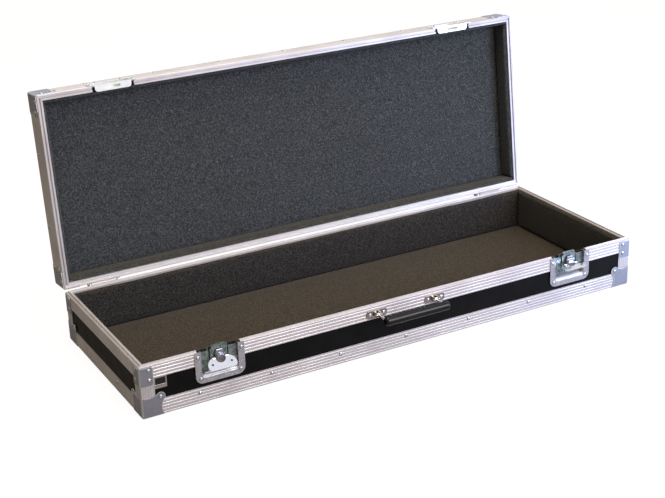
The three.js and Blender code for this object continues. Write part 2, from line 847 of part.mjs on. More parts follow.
// A closed loft through rings that all have the same number of points
function loft(rings) {
  const count = rings[0].length;
  const positions = rings.flat().flatMap((point) => point.toArray());
  const triangles = [];
  for (let ring = 0; ring + 1 < rings.length; ring += 1) {
    for (let i = 0; i < count; i += 1) {
      const next = (i + 1) % count;
      const [a, b] = [ring * count + i, ring * count + next];
      triangles.push(a, b, b + count, a, b + count, a + count);
    }
  }
  const last = (rings.length - 1) * count;
  for (let i = 1; i + 1 < count; i += 1) {
    triangles.push(0, i + 1, i, last, last + i, last + i + 1);
  }
  const geometry = new THREE.BufferGeometry();
  geometry.setAttribute('position', new THREE.Float32BufferAttribute(positions, 3));
  geometry.setIndex(triangles);
  return geometry;
}

// The grip, hanging down from its pivot axis: a bar of squarish section with rounded ends, on two arms
function handleGrip() {
  const reach = handleSpacing / 2;
  const half = reach + armWidth / 2 + gripPastArm;
  const power = (value) => Math.sign(value) * Math.abs(value) ** gripSquareness;
  const ring = (side, turn) => {
    const inset = gripEndRound * (1 - Math.sin(turn));
    const x = side * (half - gripEndRound * (1 - Math.cos(turn)));
    return Array.from({ length: gripRingPoints }, (_, i) => {
      const angle = (2 * Math.PI * i) / gripRingPoints;
      return new THREE.Vector3(
        x,
        (gripThickness / 2 - inset) * power(Math.sin(angle)),
        -(gripWidth / 2 - inset) * power(Math.cos(angle)) - handleDrop,
      );
    });
  };
  const turns = Array.from({ length: gripEndSteps + 1 }, (_, i) => (Math.PI * i) / (2 * gripEndSteps));
  const rings = [
    ...turns.map((turn) => ring(-1, turn)),
    ...turns.toReversed().map((turn) => ring(1, turn)),
  ];
  const armHalf = armWidth / 2;
  const thickHalf = armThickness / 2;
  const armRounds = [armRound, armRound, armRound, armRound];
  const pinReach = armHalf + 2 * seatGap + earThickness + seatGap;
  const arms = [-reach, reach].flatMap((at) => {
    const section = roundedRectangle(at - armHalf, at + armHalf, -thickHalf, thickHalf, armRounds);
    return [
      toSolid(alongZ(section, -handleDrop, 0)),
      toSolid(rodAlongX(armBossRadius, at - armHalf, at + armHalf)),
      toSolid(rodAlongX(pivotPinRadius, at - pinReach, at + pinReach)),
    ];
  });
  return toGeometry(join(toSolid(loft(rings)), ...arms));
}

function addHandle(parent) {
  const handle = new THREE.Group();
  handle.position.set(0, -halfDepth - handlePivotProud, joinLevel - handleBelowJoin);
  parent.add(handle);
  for (const [side, hand] of hands) {
    const bracket = addPiece(handle, `handle_bracket_${side}`, handleBracket(), nickel);
    bracket.position.x = (hand * handleSpacing) / 2;
  }
  const grip = addPiece(handle, 'handle_grip', handleGrip(), gripPlastic);
  grip.rotation.x = -handleRaisedAngle;
}

// Where every second knuckle lies along the hinge from the given one on, as pairs of ends
function knuckles(first) {
  const pitch = barrelLength / knuckleCount;
  const spans = [];
  for (let i = first; i < knuckleCount; i += 2) {
    const start = i * pitch - barrelLength / 2;
    spans.push([start + seatGap / 2, start + pitch - seatGap / 2]);
  }
  return spans;
}

// A hinge leaf about its pin's axis, with its plate reaching up, and cleared for the other leaf's knuckles
function hingeLeaf(ownFirst, otherFirst) {
  const back = -knuckleRadius;
  const half = leafWidth / 2;
  const round = leafCornerRound;
  const plate = roundedRectangle(-half, half, 0, leafHeight, [0, 0, round, round]);
  const own = knuckles(ownFirst).map(([from, to]) => toSolid(rodAlongX(knuckleRadius, from, to)));
  const clear = knuckles(otherFirst).map(([from, to]) => (
    toSolid(rodAlongX(knuckleRadius + seatGap, from - seatGap, to + seatGap))
  ));
  const ends = hands.map(([, hand]) => toSolid(block(
    [(hand * barrelLength) / 2, back - cutOverrun, -cutOverrun],
    [hand * (half + cutOverrun), knuckleRadius, joinGap + seatGap],
  )));
  return cut(join(toSolid(alongY(plate, back, back + leafThickness)), ...own), ...clear, ...ends);
}

// The base leaf carries the pin
function baseLeaf() {
  const pin = rodAlongX(hingePinRadius, -barrelLength / 2, barrelLength / 2);
  return toGeometry(join(hingeLeaf(0, 1), toSolid(pin))).rotateY(Math.PI);
}

// The lid leaf is bored for the pin. At each end a stop reaches round the barrel,
// and its tip lies along the base leaf when the lid is fully open.
function lidLeaf() {
  const bore = rodAlongX(hingePinRadius + runningGap, -leafWidth, leafWidth);
  const plateFace = leafThickness - knuckleRadius;
  const root = plateFace - leafThickness / 2;
  const touch = [stopInner, stopOuter].map((down) => {
    const point = new THREE.Vector3(0, plateFace + seatGap, -down);
    point.applyAxisAngle(new THREE.Vector3(1, 0, 0), lidOpenAngle);
    return [point.y, point.z];
  });
  const stop = outline([
    [root, stopInner],
    [stopInner, stopInner],
    ...touch,
    [stopOuter, stopInner],
    [stopInner, stopInner + stopHeight],
    [root, stopInner + stopHeight],
  ]);
  const stops = [-stopFromMiddle, stopFromMiddle].map((middle) => (
    toSolid(alongX(stop, middle - stopThickness / 2, middle + stopThickness / 2))
  ));
  return toGeometry(join(cut(hingeLeaf(1, 0), toSolid(bore)), ...stops));
}

function addBase() {
  const lining = felted(
    boardThickness + seatGap,
    joinLevel - railInnerLeg - seatGap,
    joinLevel - liningDrop,
    spindleHeadBack + seatGap,
    joinLevel - panBelowJoin - panRelief,
  );
  addBaseBoards(model);
  addPiece(model, 'base_lining', toGeometry(lining), baseFelt);
  addEdgingRing(model, 'base_edging', angleSection(bottomSideLeg, edgingLeg), -edgingWall);
  addUprights(model);
  addBaseRails(model);
  addAtCorners(model, 'base_corner', steelCorner(), zincSteel, -edgingWall);
  addAtCorners(model, 'base_brace', steelBrace(), zincSteel, joinLevel - braceDrop - braceHeight);
  addLatch(model, 'left', -latchMiddle, leftWingAngle);
  addLatch(model, 'right', latchMiddle, rightWingAngle);
  addHandle(model);
  for (const [side, hand] of hands) {
    const leaf = addPiece(model, `hinge_base_leaf_${side}`, baseLeaf(), zincSteel);
    leaf.position.set(hand * (halfLength - hingeFromEnd), hingeAxis.y, hingeAxis.z);
  }
}

// Boards and lining of the lid, in the place they have when it is closed
function addLidBoards(lid) {
  const x = halfLength - boardInset;
  const y = halfDepth - boardInset;
  const low = lidFace + boardEdgeDrop;
  const high = lidBoardUnder - seatGap;
  const top = block([-x, -y, lidBoardUnder], [x, y, lidBoardUnder + boardThickness]);
  const room = slab(x - boardThickness, y - boardThickness, low - cutOverrun, high + cutOverrun);
  const notches = [-latchMiddle, latchMiddle].map((middle) => toSolid(block(
    [middle - panRoomHalf, -halfDepth, low - cutOverrun],
    [middle + panRoomHalf, boardInner - halfDepth, lidFace + panAboveJoin + panRelief],
  )));
  const lining = felted(
    high,
    lidFace + railInnerLeg + seatGap,
    lidFace + liningDrop,
    panDepth + seatGap,
    lidFace + panAboveJoin + panRelief,
  );
  addPiece(lid, 'lid_top_board', top, laminate);
  addPiece(lid, 'lid_board_frame', toGeometry(cut(slab(x, y, low, high), room, ...notches)), laminate);
  addPiece(lid, 'lid_lining', toGeometry(lining), lidFelt);
}

// The lid's front rail is one bar, cut away round the keepers' pans, with a wider notch through its rim
function lidFrontRail() {
  const bar = toSolid(edgingBar(grooveSection(), -halfLength, halfLength));
  const pastRail = railWidth + cutOverrun;
  const cuts = [-latchMiddle, latchMiddle].flatMap((middle) => [
    block(
      [middle - panRoomHalf, -cutOverrun, -cutOverrun],
      [middle + panRoomHalf, pastRail, panAboveJoin + panRelief],
    ),
    block(
      [middle - railNotchWidth / 2, edgingWall, -cutOverrun],
      [middle + railNotchWidth / 2, pastRail, railInnerLeg + cutOverrun],
    ),
  ]);
  return toGeometry(cut(bar, ...cuts.map(toSolid)));
}

// A pressed corner is the same about its diagonal, so a half turn about the diagonal puts it upside down
function upsideDown(corner) {
  const diagonal = new THREE.Vector3(1, 1, 0).normalize();
  return corner.applyMatrix4(new THREE.Matrix4().makeRotationAxis(diagonal, Math.PI));
}

// The lid is drawn closed on the base, inside a group that turns about the hinge pins
function addLid() {
  const pivot = new THREE.Group();
  pivot.position.set(0, hingeAxis.y, hingeAxis.z);
  pivot.rotation.x = -lidOpenAngle;
  model.add(pivot);
  const lid = new THREE.Group();
  lid.position.set(0, -hingeAxis.y, -hingeAxis.z);
  pivot.add(lid);

  addLidBoards(lid);
  addEdgingRing(lid, 'lid_edging', angleSection(lidAngleLeg, edgingLeg, -1), lidTop);
  addEdgingRing(lid, 'lid_rail', grooveSection(), lidFace, sidesBehindFront);
  const front = addPiece(lid, 'lid_rail_front', lidFrontRail(), aluminium);
  front.position.set(0, -halfDepth, lidFace);
  const corner = upsideDown(steelCorner(lidHeight - steelReachOut));
  addAtCorners(lid, 'lid_corner', corner, zincSteel, lidTop);
  for (const [side, hand] of hands) {
    const keeper = addPiece(lid, `latch_keeper_${side}`, latchKeeper(), latchSteel);
    keeper.position.set(hand * latchMiddle, -halfDepth, lidFace);
    const leaf = addPiece(lid, `hinge_lid_leaf_${side}`, lidLeaf(), zincSteel);
    leaf.position.set(hand * (halfLength - hingeFromEnd), hingeAxis.y, hingeAxis.z);
  }
}

addBase();
addLid();

// Stands the whole part on the origin, with its middle over it
const extent = new THREE.Box3().setFromObject(model, true);
const middle = extent.getCenter(new THREE.Vector3());
model.position.set(-middle.x, -middle.y, -extent.min.z);

const flightCase = new THREE.Group();
flightCase.add(model);

export default flightCase;
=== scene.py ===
"""A flight case for a keyboard, open on a pale floor: finishes, soft lining and small fittings.

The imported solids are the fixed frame, and they get their finishes here. Both felted linings and the
handle's grip are modelled here and stand for their solids. The rivets, the rolled lips in the latch
dishes, the necks on the latches' bosses and the bare plate have no solids and are added.

Places are given in millimetres in the case's own coordinates: X along the case, Y from front to back
and Z up, from the middle of the bottom board's underside. The lid's places are those of the shut lid.
"""

import json
import logging
import math
from collections.abc import Callable, Sequence
from dataclasses import dataclass, field
from enum import Enum
from functools import partial

import bpy
import numpy as np
from mathutils import Matrix, Vector

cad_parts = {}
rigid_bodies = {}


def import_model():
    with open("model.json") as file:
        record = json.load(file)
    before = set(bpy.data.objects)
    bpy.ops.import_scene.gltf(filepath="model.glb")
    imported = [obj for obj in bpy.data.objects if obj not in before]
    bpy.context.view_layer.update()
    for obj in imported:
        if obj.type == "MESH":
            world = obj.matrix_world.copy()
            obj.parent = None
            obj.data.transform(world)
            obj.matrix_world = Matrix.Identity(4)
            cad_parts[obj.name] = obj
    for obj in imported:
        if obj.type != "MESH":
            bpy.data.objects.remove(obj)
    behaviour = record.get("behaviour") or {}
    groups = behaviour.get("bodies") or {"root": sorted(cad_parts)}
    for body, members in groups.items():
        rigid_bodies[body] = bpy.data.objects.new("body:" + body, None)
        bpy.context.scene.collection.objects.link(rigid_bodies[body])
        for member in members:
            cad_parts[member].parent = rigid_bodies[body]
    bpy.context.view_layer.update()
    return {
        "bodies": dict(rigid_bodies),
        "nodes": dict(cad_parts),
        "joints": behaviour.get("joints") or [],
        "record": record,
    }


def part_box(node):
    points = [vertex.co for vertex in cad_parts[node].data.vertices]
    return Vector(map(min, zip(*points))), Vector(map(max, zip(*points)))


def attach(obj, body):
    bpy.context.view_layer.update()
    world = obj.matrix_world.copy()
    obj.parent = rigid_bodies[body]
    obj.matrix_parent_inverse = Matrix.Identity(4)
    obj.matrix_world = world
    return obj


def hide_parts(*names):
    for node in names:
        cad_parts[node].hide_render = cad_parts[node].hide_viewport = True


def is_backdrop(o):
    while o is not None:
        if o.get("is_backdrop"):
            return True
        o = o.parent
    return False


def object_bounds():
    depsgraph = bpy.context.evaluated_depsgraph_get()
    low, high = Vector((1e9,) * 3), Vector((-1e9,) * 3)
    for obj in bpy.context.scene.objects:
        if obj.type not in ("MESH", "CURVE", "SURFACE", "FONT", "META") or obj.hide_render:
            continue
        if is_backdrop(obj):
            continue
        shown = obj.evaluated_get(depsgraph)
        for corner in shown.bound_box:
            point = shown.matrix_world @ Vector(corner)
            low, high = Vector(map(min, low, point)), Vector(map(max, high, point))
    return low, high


LOG = logging.getLogger("flight_case")
METRES = 0.001
SIDES = (-1, 1)
Array = np.ndarray
Pair = tuple[float, float]
Node, Socket = bpy.types.Node, bpy.types.NodeSocket
Adder = Callable[..., Node]
Look = dict[str, Node | Socket | float]


# ---------------------------------------------------------------------------------------------
# Places
# ---------------------------------------------------------------------------------------------


def turn_about_x(degrees: float) -> Array:
    """Rotation matrix about X by the right-hand rule.

    Args:
        degrees: The angle.

    Returns:
        A 3 x 3 matrix that is applied to column vectors.
    """
    angle = math.radians(degrees)
    c, s = math.cos(angle), math.sin(angle)
    return np.array([[1, 0, 0], [0, c, -s], [0, s, c]])


def facing(normal: Sequence[float]) -> Array:
    """A rotation whose third axis is a normal along one of the main axes.

    Args:
        normal: The unit vector that the third axis takes.

    Returns:
        A 3 x 3 matrix with the frame's axes as its columns.
    """
    third = np.array(normal, float)
    first = np.array([0.0, 1.0, 0.0]) if abs(third[0]) > 0.5 else np.array([1.0, 0.0, 0.0])
    return np.stack([first, np.cross(third, first), third], axis=1)


@dataclass(frozen=True)
class Place:
    """A coordinate frame of the case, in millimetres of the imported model.

    A point p of the frame lies at origin + turn p.
    """

    origin: Array
    turn: Array = field(default_factory=lambda: np.eye(3))

    def put(self, points: Array) -> Array:
        """Carries points of any array shape (..., 3) into the model."""
        return np.asarray(points, float) @ self.turn.T + self.origin

    def moved(self, offset: Sequence[float], turn: Array | None = None) -> "Place":
        """A frame at an offset in this one, with a turn of its own.

        Args:
            offset: Where the new frame's origin lies in this one.
            turn: The new frame's own rotation, or None.

        Returns:
            The new frame.
        """
        own = np.eye(3) if turn is None else turn
        return Place(self.put(np.array(offset, float)), self.turn @ own)


@dataclass(frozen=True)
class CaseSizes:
    """Sizes of the solids that the scene's own pieces sit on, in millimetres."""

    half_length: float = 615.0
    half_depth: float = 218.0
    join: float = 112.5
    join_gap: float = 0.3
    under: float = -1.5
    base_floor: float = 9.4
    lid_height: float = 61.0
    lid_floor: float = 11.2
    lid_open: float = 96.2
    hinge_y: float = 221.8
    hinge_z: float = 112.65
    steel_proud: float = 1.5
    latch_x: float = 441.0
    cam_drop: float = 22.0
    cam_radius: float = 10.5
    cam_proud: float = 4.9
    pan_half: float = 41.0
    pan_low: float = -58.8
    pan_round: float = 6.8
    pan_floor: float = 12.8
    handle_y: float = -227.0
    handle_z: float = 94.0
    handle_raised: float = 90.0
    handle_half: float = 73.0
    handle_drop: float = 38.0
    inner_x: float = 594.1
    inner_y: float = 197.1

    @property
    def lid_face(self) -> float:
        """Level of the shut lid's join face."""
        return self.join + self.join_gap

    @property
    def lid_top(self) -> float:
        """Level of the shut lid's outer face."""
        return self.lid_face + self.lid_height


CASE = CaseSizes()


def case_place() -> Place:
    """Finds the frame of the case's own coordinates from the bottom board.

    Returns:
        The frame.
    """
    low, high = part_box("base_bottom_board")
    middle = (low + high) / 2
    return Place(np.array([middle.x, middle.y, low.z]) / METRES)


def lid_place(case: Place) -> Place:
    """The frame in which the open lid has the coordinates of the shut one.

    Args:
        case: The frame of the case.

    Returns:
        The frame turned back about the hinge pins.
    """
    turn = turn_about_x(-CASE.lid_open)
    hinge = np.array([0.0, CASE.hinge_y, CASE.hinge_z])
    return case.moved(hinge - turn @ hinge, turn)


# ---------------------------------------------------------------------------------------------
# Surfaces
# ---------------------------------------------------------------------------------------------


@dataclass(frozen=True)
class Shape:
    """Points (n, 3) in millimetres, and the faces between them as arrays (m, 3) or (m, 4)."""

    points: Array
    faces: tuple[Array, ...]

    def at(self, place: Place) -> "Shape":
        """The shape carried out of a frame into the model."""
        return Shape(place.put(self.points), self.faces)


def merged(shapes: Sequence[Shape]) -> Shape:
    """Puts several shapes together as one, in their order.

    Args:
        shapes: The shapes.

    Returns:
        All their points, and their faces with the numbers of the points moved up to match.
    """
    starts = np.cumsum([0] + [len(shape.points) for shape in shapes])
    faces = tuple(part + start for start, shape in zip(starts, shapes) for part in shape.faces)
    return Shape(np.concatenate([shape.points for shape in shapes]), faces)


def grid_faces(rows: int, columns: int, wrap: bool = False) -> Array:
    """Quads of a grid of points that is stored row by row.

    Args:
        rows: Number of rows of points.
        columns: Number of points in a row.
        wrap: Whether the last column joins the first.

    Returns:
        An array (n, 4) of point numbers.
    """
    start = np.arange(rows - 1)[:, None] * columns
    near = np.arange(columns if wrap else columns - 1)[None, :]
    far = (near + 1) % columns
    quads = np.stack([start + near, start + far, start + columns + far, start + columns + near], axis=-1)
    return quads.reshape(-1, 4)


def border(rows: int, columns: int) -> Array:
    """Numbers of a grid's outer points, once round: first row, last column, last row, first column."""
    number = np.arange(rows * columns).reshape(rows, columns)
    return np.concatenate([number[0, :-1], number[:-1, -1], number[-1, :0:-1], number[:0:-1, 0]])


def lathe(profile: Array, turns: int) -> Shape:
    """A closed turned shape about the third axis.

    The point at turn t of a profile point (r, h) is (r cos t, r sin t, h). The profile runs from the
    axis under the shape, round its outside and back to the axis on top, so both poles are closed.

    Args:
        profile: Points (n, 2) of radius and height.
        turns: How many steps a full turn has.

    Returns:
        The shape.
    """
    angle = np.arange(turns) * 2 * math.pi / turns
    radius, height = profile[:, 0:1], profile[:, 1:2]
    points = np.stack(np.broadcast_arrays(radius * np.cos(angle), radius * np.sin(angle), height), axis=-1)
    return Shape(points.reshape(-1, 3), (grid_faces(len(profile), turns, wrap=True),))


def lofted(rings: Array, hubs: Array) -> Shape:
    """A closed form through rings of points, with a fan of triangles round a hub over each end.

    Args:
        rings: Points (n, m, 3), each ring counter-clockwise seen against the way they follow in.
        hubs: The two hubs (2, 3), in the first ring and in the last.

    Returns:
        The form.
    """
    count, hub = rings.shape[1], rings.shape[0] * rings.shape[1]
    ring = np.arange(count)
    following, last = (ring + 1) % count, hub - count
    first_fan = np.stack([np.full(count, hub), following, ring], axis=1)
    last_fan = np.stack([np.full(count, hub + 1), last + ring, last + following], axis=1)
    points = np.concatenate([rings.reshape(-1, 3), hubs])
    return Shape(points, (grid_faces(len(rings), count, wrap=True), first_fan, last_fan))


def swept(centres: Array, across: Sequence[float], beside: Sequence[float], section: Array) -> Shape:
    """A closed form from a section carried along a straight path.

    The point of section point (a, b) at a step of the path is centre + a across + b beside.

    Args:
        centres: Points (n, 3) of the path.
        across: Unit vector of the section's first axis.
        beside: Unit vector of its second axis.
        section: Points (n, m, 2) of the section at each step, counter-clockwise seen against the path.

    Returns:
        The form.
    """
    first, second = section[..., 0:1] * np.array(across), section[..., 1:2] * np.array(beside)
    return lofted(centres[:, None] + first + second, centres[[0, -1]])


def closed_sheet(front: Array, back: Array) -> Shape:
    """A closed form from two grids that lie back to back, joined by a strip round their borders.

    Args:
        front: Points (rows, columns, 3) whose rows cross columns points outward.
        back: Points of the same grid on the far side.

    Returns:
        The form.
    """
    rows, columns = front.shape[:2]
    faces, edge, far = grid_faces(rows, columns), border(rows, columns), rows * columns
    following = np.roll(edge, -1)
    strip = np.stack([edge, following, following + far, edge + far], axis=1)
    points = np.concatenate([front.reshape(-1, 3), back.reshape(-1, 3)])
    return Shape(points, (faces[:, ::-1], faces + far, strip))


def dress(piece: bpy.types.Object, material: bpy.types.Material) -> None:
    """Gives every slot of a piece one material.

    Args:
        piece: The object.
        material: Its new material.
    """
    if not piece.data.materials:
        piece.data.materials.append(material)
    for slot in piece.material_slots:
        slot.material = material


def make_piece(
    name: str, shape: Shape, body: str, material: bpy.types.Material, smooth: bool = True
) -> bpy.types.Object:
    """Makes a mesh piece at the origin, dressed in one material and riding on a body.

    Args:
        name: The piece's name.
        shape: Its shape in the model's frame.
        body: The body that the piece moves with.
        material: Its finish.
        smooth: Whether the faces are shaded smooth.

    Returns:
        The new object.
    """
    corners = np.concatenate([part.reshape(-1) for part in shape.faces]).astype(np.int32)
    sizes = np.concatenate([np.full(len(part), part.shape[1]) for part in shape.faces]).astype(np.int32)
    mesh = bpy.data.meshes.new(name)
    mesh.vertices.add(len(shape.points))
    mesh.vertices.foreach_set("co", (shape.points * METRES).ravel())
    mesh.loops.add(len(corners))
    mesh.loops.foreach_set("vertex_index", corners)
    mesh.polygons.add(len(sizes))
    mesh.polygons.foreach_set("loop_start", np.concatenate([[0], np.cumsum(sizes)[:-1]]).astype(np.int32))
    mesh.update(calc_edges=True)
    mesh.validate()
    mesh.polygons.foreach_set("use_smooth", np.full(len(mesh.polygons), smooth))
    piece = bpy.data.objects.new(name, mesh)
    bpy.context.scene.collection.objects.link(piece)
    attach(piece, body)
    dress(piece, material)
    return piece


# ---------------------------------------------------------------------------------------------
# Finishes
# ---------------------------------------------------------------------------------------------


def linear(code: str) -> tuple[float, float, float, float]:
    """Turns an sRGB hex colour into the linear values that a shader takes.

    Args:
        code: Six hex digits after a hash sign.

    Returns:
        Red, green, blue and an alpha of 1.
    """
    parts = [int(code[i : i + 2], 16) / 255 for i in (1, 3, 5)]
    red, green, blue = (v / 12.92 if v <= 0.04045 else ((v + 0.055) / 1.055) ** 2.4 for v in parts)
    return red, green, blue, 1.0


def scale_of(size: float) -> float:
    """The scale at which a pattern's patches are a number of millimetres wide."""
    return 1 / (size * METRES)


def add_node(
    tree: bpy.types.NodeTree,
    kind: str,
    inputs: dict | Sequence = (),
    stops: Sequence[tuple[float, str]] = (),
    **settings: object,
) -> Node:
    """Adds one node with its settings, values and links.

    Args:
        tree: The node tree of a material or of the world.
        kind: The node's type name after ShaderNode.
        inputs: What the inputs take, by name or in their order. Each is a value, a hex colour, a
            socket, or a node whose first output in use is meant.
        stops: A colour ramp's pairs of a place from 0 to 1 and a hex colour.
        settings: Attributes of the node.

    Returns:
        The node.
    """
    node = tree.nodes.new(f"ShaderNode{kind}")
    for key, value in settings.items():
        setattr(node, key, value)
    for key, value in inputs.items() if isinstance(inputs, dict) else enumerate(inputs):
        if isinstance(value, Node):
            value = next(socket for socket in value.outputs if socket.enabled)
        if isinstance(value, Socket):
            tree.links.new(value, node.inputs[key])
        else:
            node.inputs[key].default_value = linear(value) if isinstance(value, str) else value
    if stops:
        elements = node.color_ramp.elements
        for element, (position, code) in zip(elements, (stops[0], stops[-1])):
            element.position, element.color = position, linear(code)
        for position, code in stops[1:-1]:
            elements.new(position).color = linear(code)
    return node


def emptied(owner: bpy.types.Material | bpy.types.World) -> Adder:
    """Empties the node tree of a material or of the world.

    Args:
        owner: The material or the world.

    Returns:
        The function that adds a node to its tree.
    """
    owner.use_nodes = True
    owner.node_tree.nodes.clear()
    return partial(add_node, owner.node_tree)


class Grain(Enum):
    """The direction in the model that the die lines of a drawn bar run in.

    Each value is the axis of the lines and the turn of that axis about X in degrees.
    """

    ALONG = (0, 0.0)
    DEEP = (1, 0.0)
    UP = (2, 0.0)
    LID_DEEP = (1, -CASE.lid_open)


@dataclass(frozen=True)
class Finish:
    """A finish of one material of the case.

    Where it has a pair of roughnesses, they go with the low and the high end of its noise.
    """

    name: str

    def build(self) -> bpy.types.Material:
        """Makes the Blender material.

        Returns:
            The material with its nodes.
        """
        material = bpy.data.materials.new(self.name)
        add = emptied(material)
        look = self.look(add, add("TexCoord").outputs["Object"])
        add("OutputMaterial", {"Surface": add("BsdfPrincipled", look)})
        return material

    def look(self, add: Adder, place: Socket) -> Look:
        """Wires what the shader takes.

        Args:
            add: Adds a node to the material.
            place: The object coordinates in metres.

        Returns:
            What each input of the Principled BSDF takes that isn't left as it is.
        """
        raise NotImplementedError


@dataclass(frozen=True)
class DrawnAluminium(Finish):
    """Extruded aluminium, natural satin: long fine die lines, a soft sheen and handling smudges."""

    grain: Grain = Grain.ALONG
    bright: str = "#d1cdd3"
    dull: str = "#bfb9bf"
    metal: float = 0.4
    roughness: Pair = (0.5, 0.36)
    line_width: float = 0.9
    line_length: float = 260.0
    line_share: float = 0.6
    line_depth: float = 0.05
    smudge: float = 90.0

    def look(self, add: Adder, place: Socket) -> Look:
        """Stretches a noise along the bar for the die lines, and lays broad smudges over them.

        Args:
            add: Adds a node to the material.
            place: The object coordinates in metres.

        Returns:
            What the shader takes.
        """
        axis, turn = self.grain.value
        size = [self.line_width * METRES] * 3
        size[axis] = self.line_length * METRES
        across = {"Vector": place, "Rotation": (math.radians(turn), 0, 0), "Scale": size}
        stretched = add("Mapping", across, vector_type="TEXTURE")
        lines = add("TexNoise", {"Vector": stretched, "Scale": 1.0, "Detail": 3.0})
        smudges = add("TexNoise", {"Vector": place, "Scale": scale_of(self.smudge), "Detail": 2.0})
        both = add("Math", (lines, self.line_share, smudges), operation="MULTIPLY_ADD")
        return {
            "Base Color": add("ValToRGB", [both], ((0.55, self.dull), (1.0, self.bright))),
            "Metallic": self.metal,
            "Roughness": add("MapRange", (both, 0.5, 1.1, *self.roughness)),
            "Normal": add("Bump", {"Height": lines, "Strength": 0.35, "Distance": self.line_depth * METRES}),
        }


@dataclass(frozen=True)
class PlatedSteel(Finish):
    """Pressed sheet steel under zinc: a cloudy grey with a fine orange-peel from the press.

    With an edge-light width above 0, folds and rims are painted bright over that width: a painted highlight
    along the edges.
    """

    light: str = "#a9abba"
    dark: str = "#9698a6"
    metal: float = 0.85
    roughness: Pair = (0.42, 0.3)
    cloud: float = 16.0
    peel: float = 0.8
    peel_depth: float = 0.06
    # Width and colour of the painted highlight along folds and rims.
    worn_and_edge_lit: float = 0.0
    rubbed_and_edge_lit: str = "#e6e7ee"

    def painted_edge_highlight(self, add: Adder, colour: Node) -> Node:
        """Brightens the colour where the true normal turns away from a rounded one, so along edges: a painted
        highlight on the folds.

        Args:
            add: Adds a node to the material.
            colour: The colour of the flat steel.

        Returns:
            The colour with its painted edge highlights.
        """
        rounded = add("Bevel", {"Radius": self.worn_and_edge_lit * METRES}, samples=8)
        true = add("NewGeometry").outputs["True Normal"]
        along = add("VectorMath", (rounded, true), operation="DOT_PRODUCT")
        edge = add("MapRange", (along, 0.995, 0.9))
        return add("Mix", {"Factor": edge, "A": colour, "B": self.rubbed_and_edge_lit}, data_type="RGBA")

    def look(self, add: Adder, place: Socket) -> Look:
        """Mixes two greys by a cloudy noise, and bumps the surface with a fine one.

        Args:
            add: Adds a node to the material.
            place: The object coordinates in metres.

        Returns:
            What the shader takes.
        """
        broad = {"Vector": place, "Scale": scale_of(self.cloud), "Detail": 5.0, "Roughness": 0.65}
        clouds = add("TexNoise", broad)
        peel = add("TexNoise", {"Vector": place, "Scale": scale_of(self.peel), "Detail": 2.0})
        colour = add("ValToRGB", [clouds], ((0.3, self.dark), (0.72, self.light)))
        return {
            # Folds and rims get a painted highlight where its width is above 0.
            "Base Color": self.painted_edge_highlight(add, colour) if self.worn_and_edge_lit > 0 else colour,
            "Metallic": self.metal,
            "Roughness": add("MapRange", (clouds, 0.3, 0.7, *self.roughness)),
            "Normal": add("Bump", {"Height": peel, "Strength": 0.2, "Distance": self.peel_depth * METRES}),
        }


@dataclass(frozen=True)
class DrawnDish(Finish):
    """Deep-drawn sheet steel under zinc: pale greys on the flange, raised as painted light, and darker,
    greener greys down in the pan, which are painted shade in the recess.

    It takes the case's own place along Y in metres, to find the front from.
    """

    case_y: float
    # The flange's greys are raised as painted light, and the pan's are darkened as painted shade.
    flange: tuple[str, str] = ("#a7a7b4", "#cfcfdc")
    pan: tuple[str, str] = ("#5b696c", "#a4b1b5")
    draw: float = 4.0
    cloud: float = 8.0
    metal: float = 0.6
    roughness: Pair = (0.3, 0.16)

    def look(self, add: Adder, place: Socket) -> Look:
        """Clouds both greys with one noise, and passes from the flange's to the pan's over the draw: from the
        paler greys of painted light to the darker ones of painted shade.

        Args:
            add: Adds a node to the material.
            place: The object coordinates in metres.

        Returns:
            What the shader takes.
        """
        patchy = {"Detail": 4.0, "Roughness": 0.6, "Distortion": 0.8}
        clouds = add("TexNoise", {"Vector": place, "Scale": scale_of(self.cloud)} | patchy)
        depth = add("SeparateXYZ", [place]).outputs["Y"]
        front = self.case_y - CASE.half_depth * METRES
        drawn = add("MapRange", (depth, front, front + self.draw * METRES))
        flange = add("ValToRGB", [clouds], ((0.35, self.flange[0]), (0.7, self.flange[1])))
        pan = add("ValToRGB", [clouds], ((0.38, self.pan[0]), (0.66, self.pan[1])))
        return {
            "Base Color": add("Mix", {"Factor": drawn, "A": flange, "B": pan}, data_type="RGBA"),
            "Metallic": self.metal,
            "Roughness": add("MapRange", (clouds, 0.3, 0.7, *self.roughness)),
        }


@dataclass(frozen=True)
class BlackLaminate(Finish):
    """Phenolic laminate on plywood, pressed with a fine leather grain: black with a low, broken sheen."""

    base: str = "#060507"
    worn_and_edge_lit: str = "#100f13"
    roughness: Pair = (0.42, 0.58)
    specular: float = 0.14
    grain: float = 0.9
    grain_depth: float = 0.12
    scuff: float = 38.0

    def look(self, add: Adder, place: Socket) -> Look:
        """Bumps the sheet with small cells, and greys it where it has been rubbed.

        Args:
            add: Adds a node to the material.
            place: The object coordinates in metres.

        Returns:
            What the shader takes.
        """
        cell = {"Vector": place, "Scale": scale_of(self.grain), "Smoothness": 0.6}
        cells = add("TexVoronoi", cell, feature="SMOOTH_F1")
        rubs = {"Vector": place, "Scale": scale_of(self.scuff), "Detail": 6.0, "Roughness": 0.7}
        scuffs = add("TexNoise", rubs)
        return {
            "Base Color": add("ValToRGB", [scuffs], ((0.42, self.base), (0.85, self.worn_and_edge_lit))),
            "Roughness": add("MapRange", (scuffs, 0.3, 0.75, *self.roughness)),
            "Specular IOR Level": self.specular,
            "Normal": add("Bump", {"Height": cells, "Strength": 0.5, "Distance": self.grain_depth * METRES}),
        }


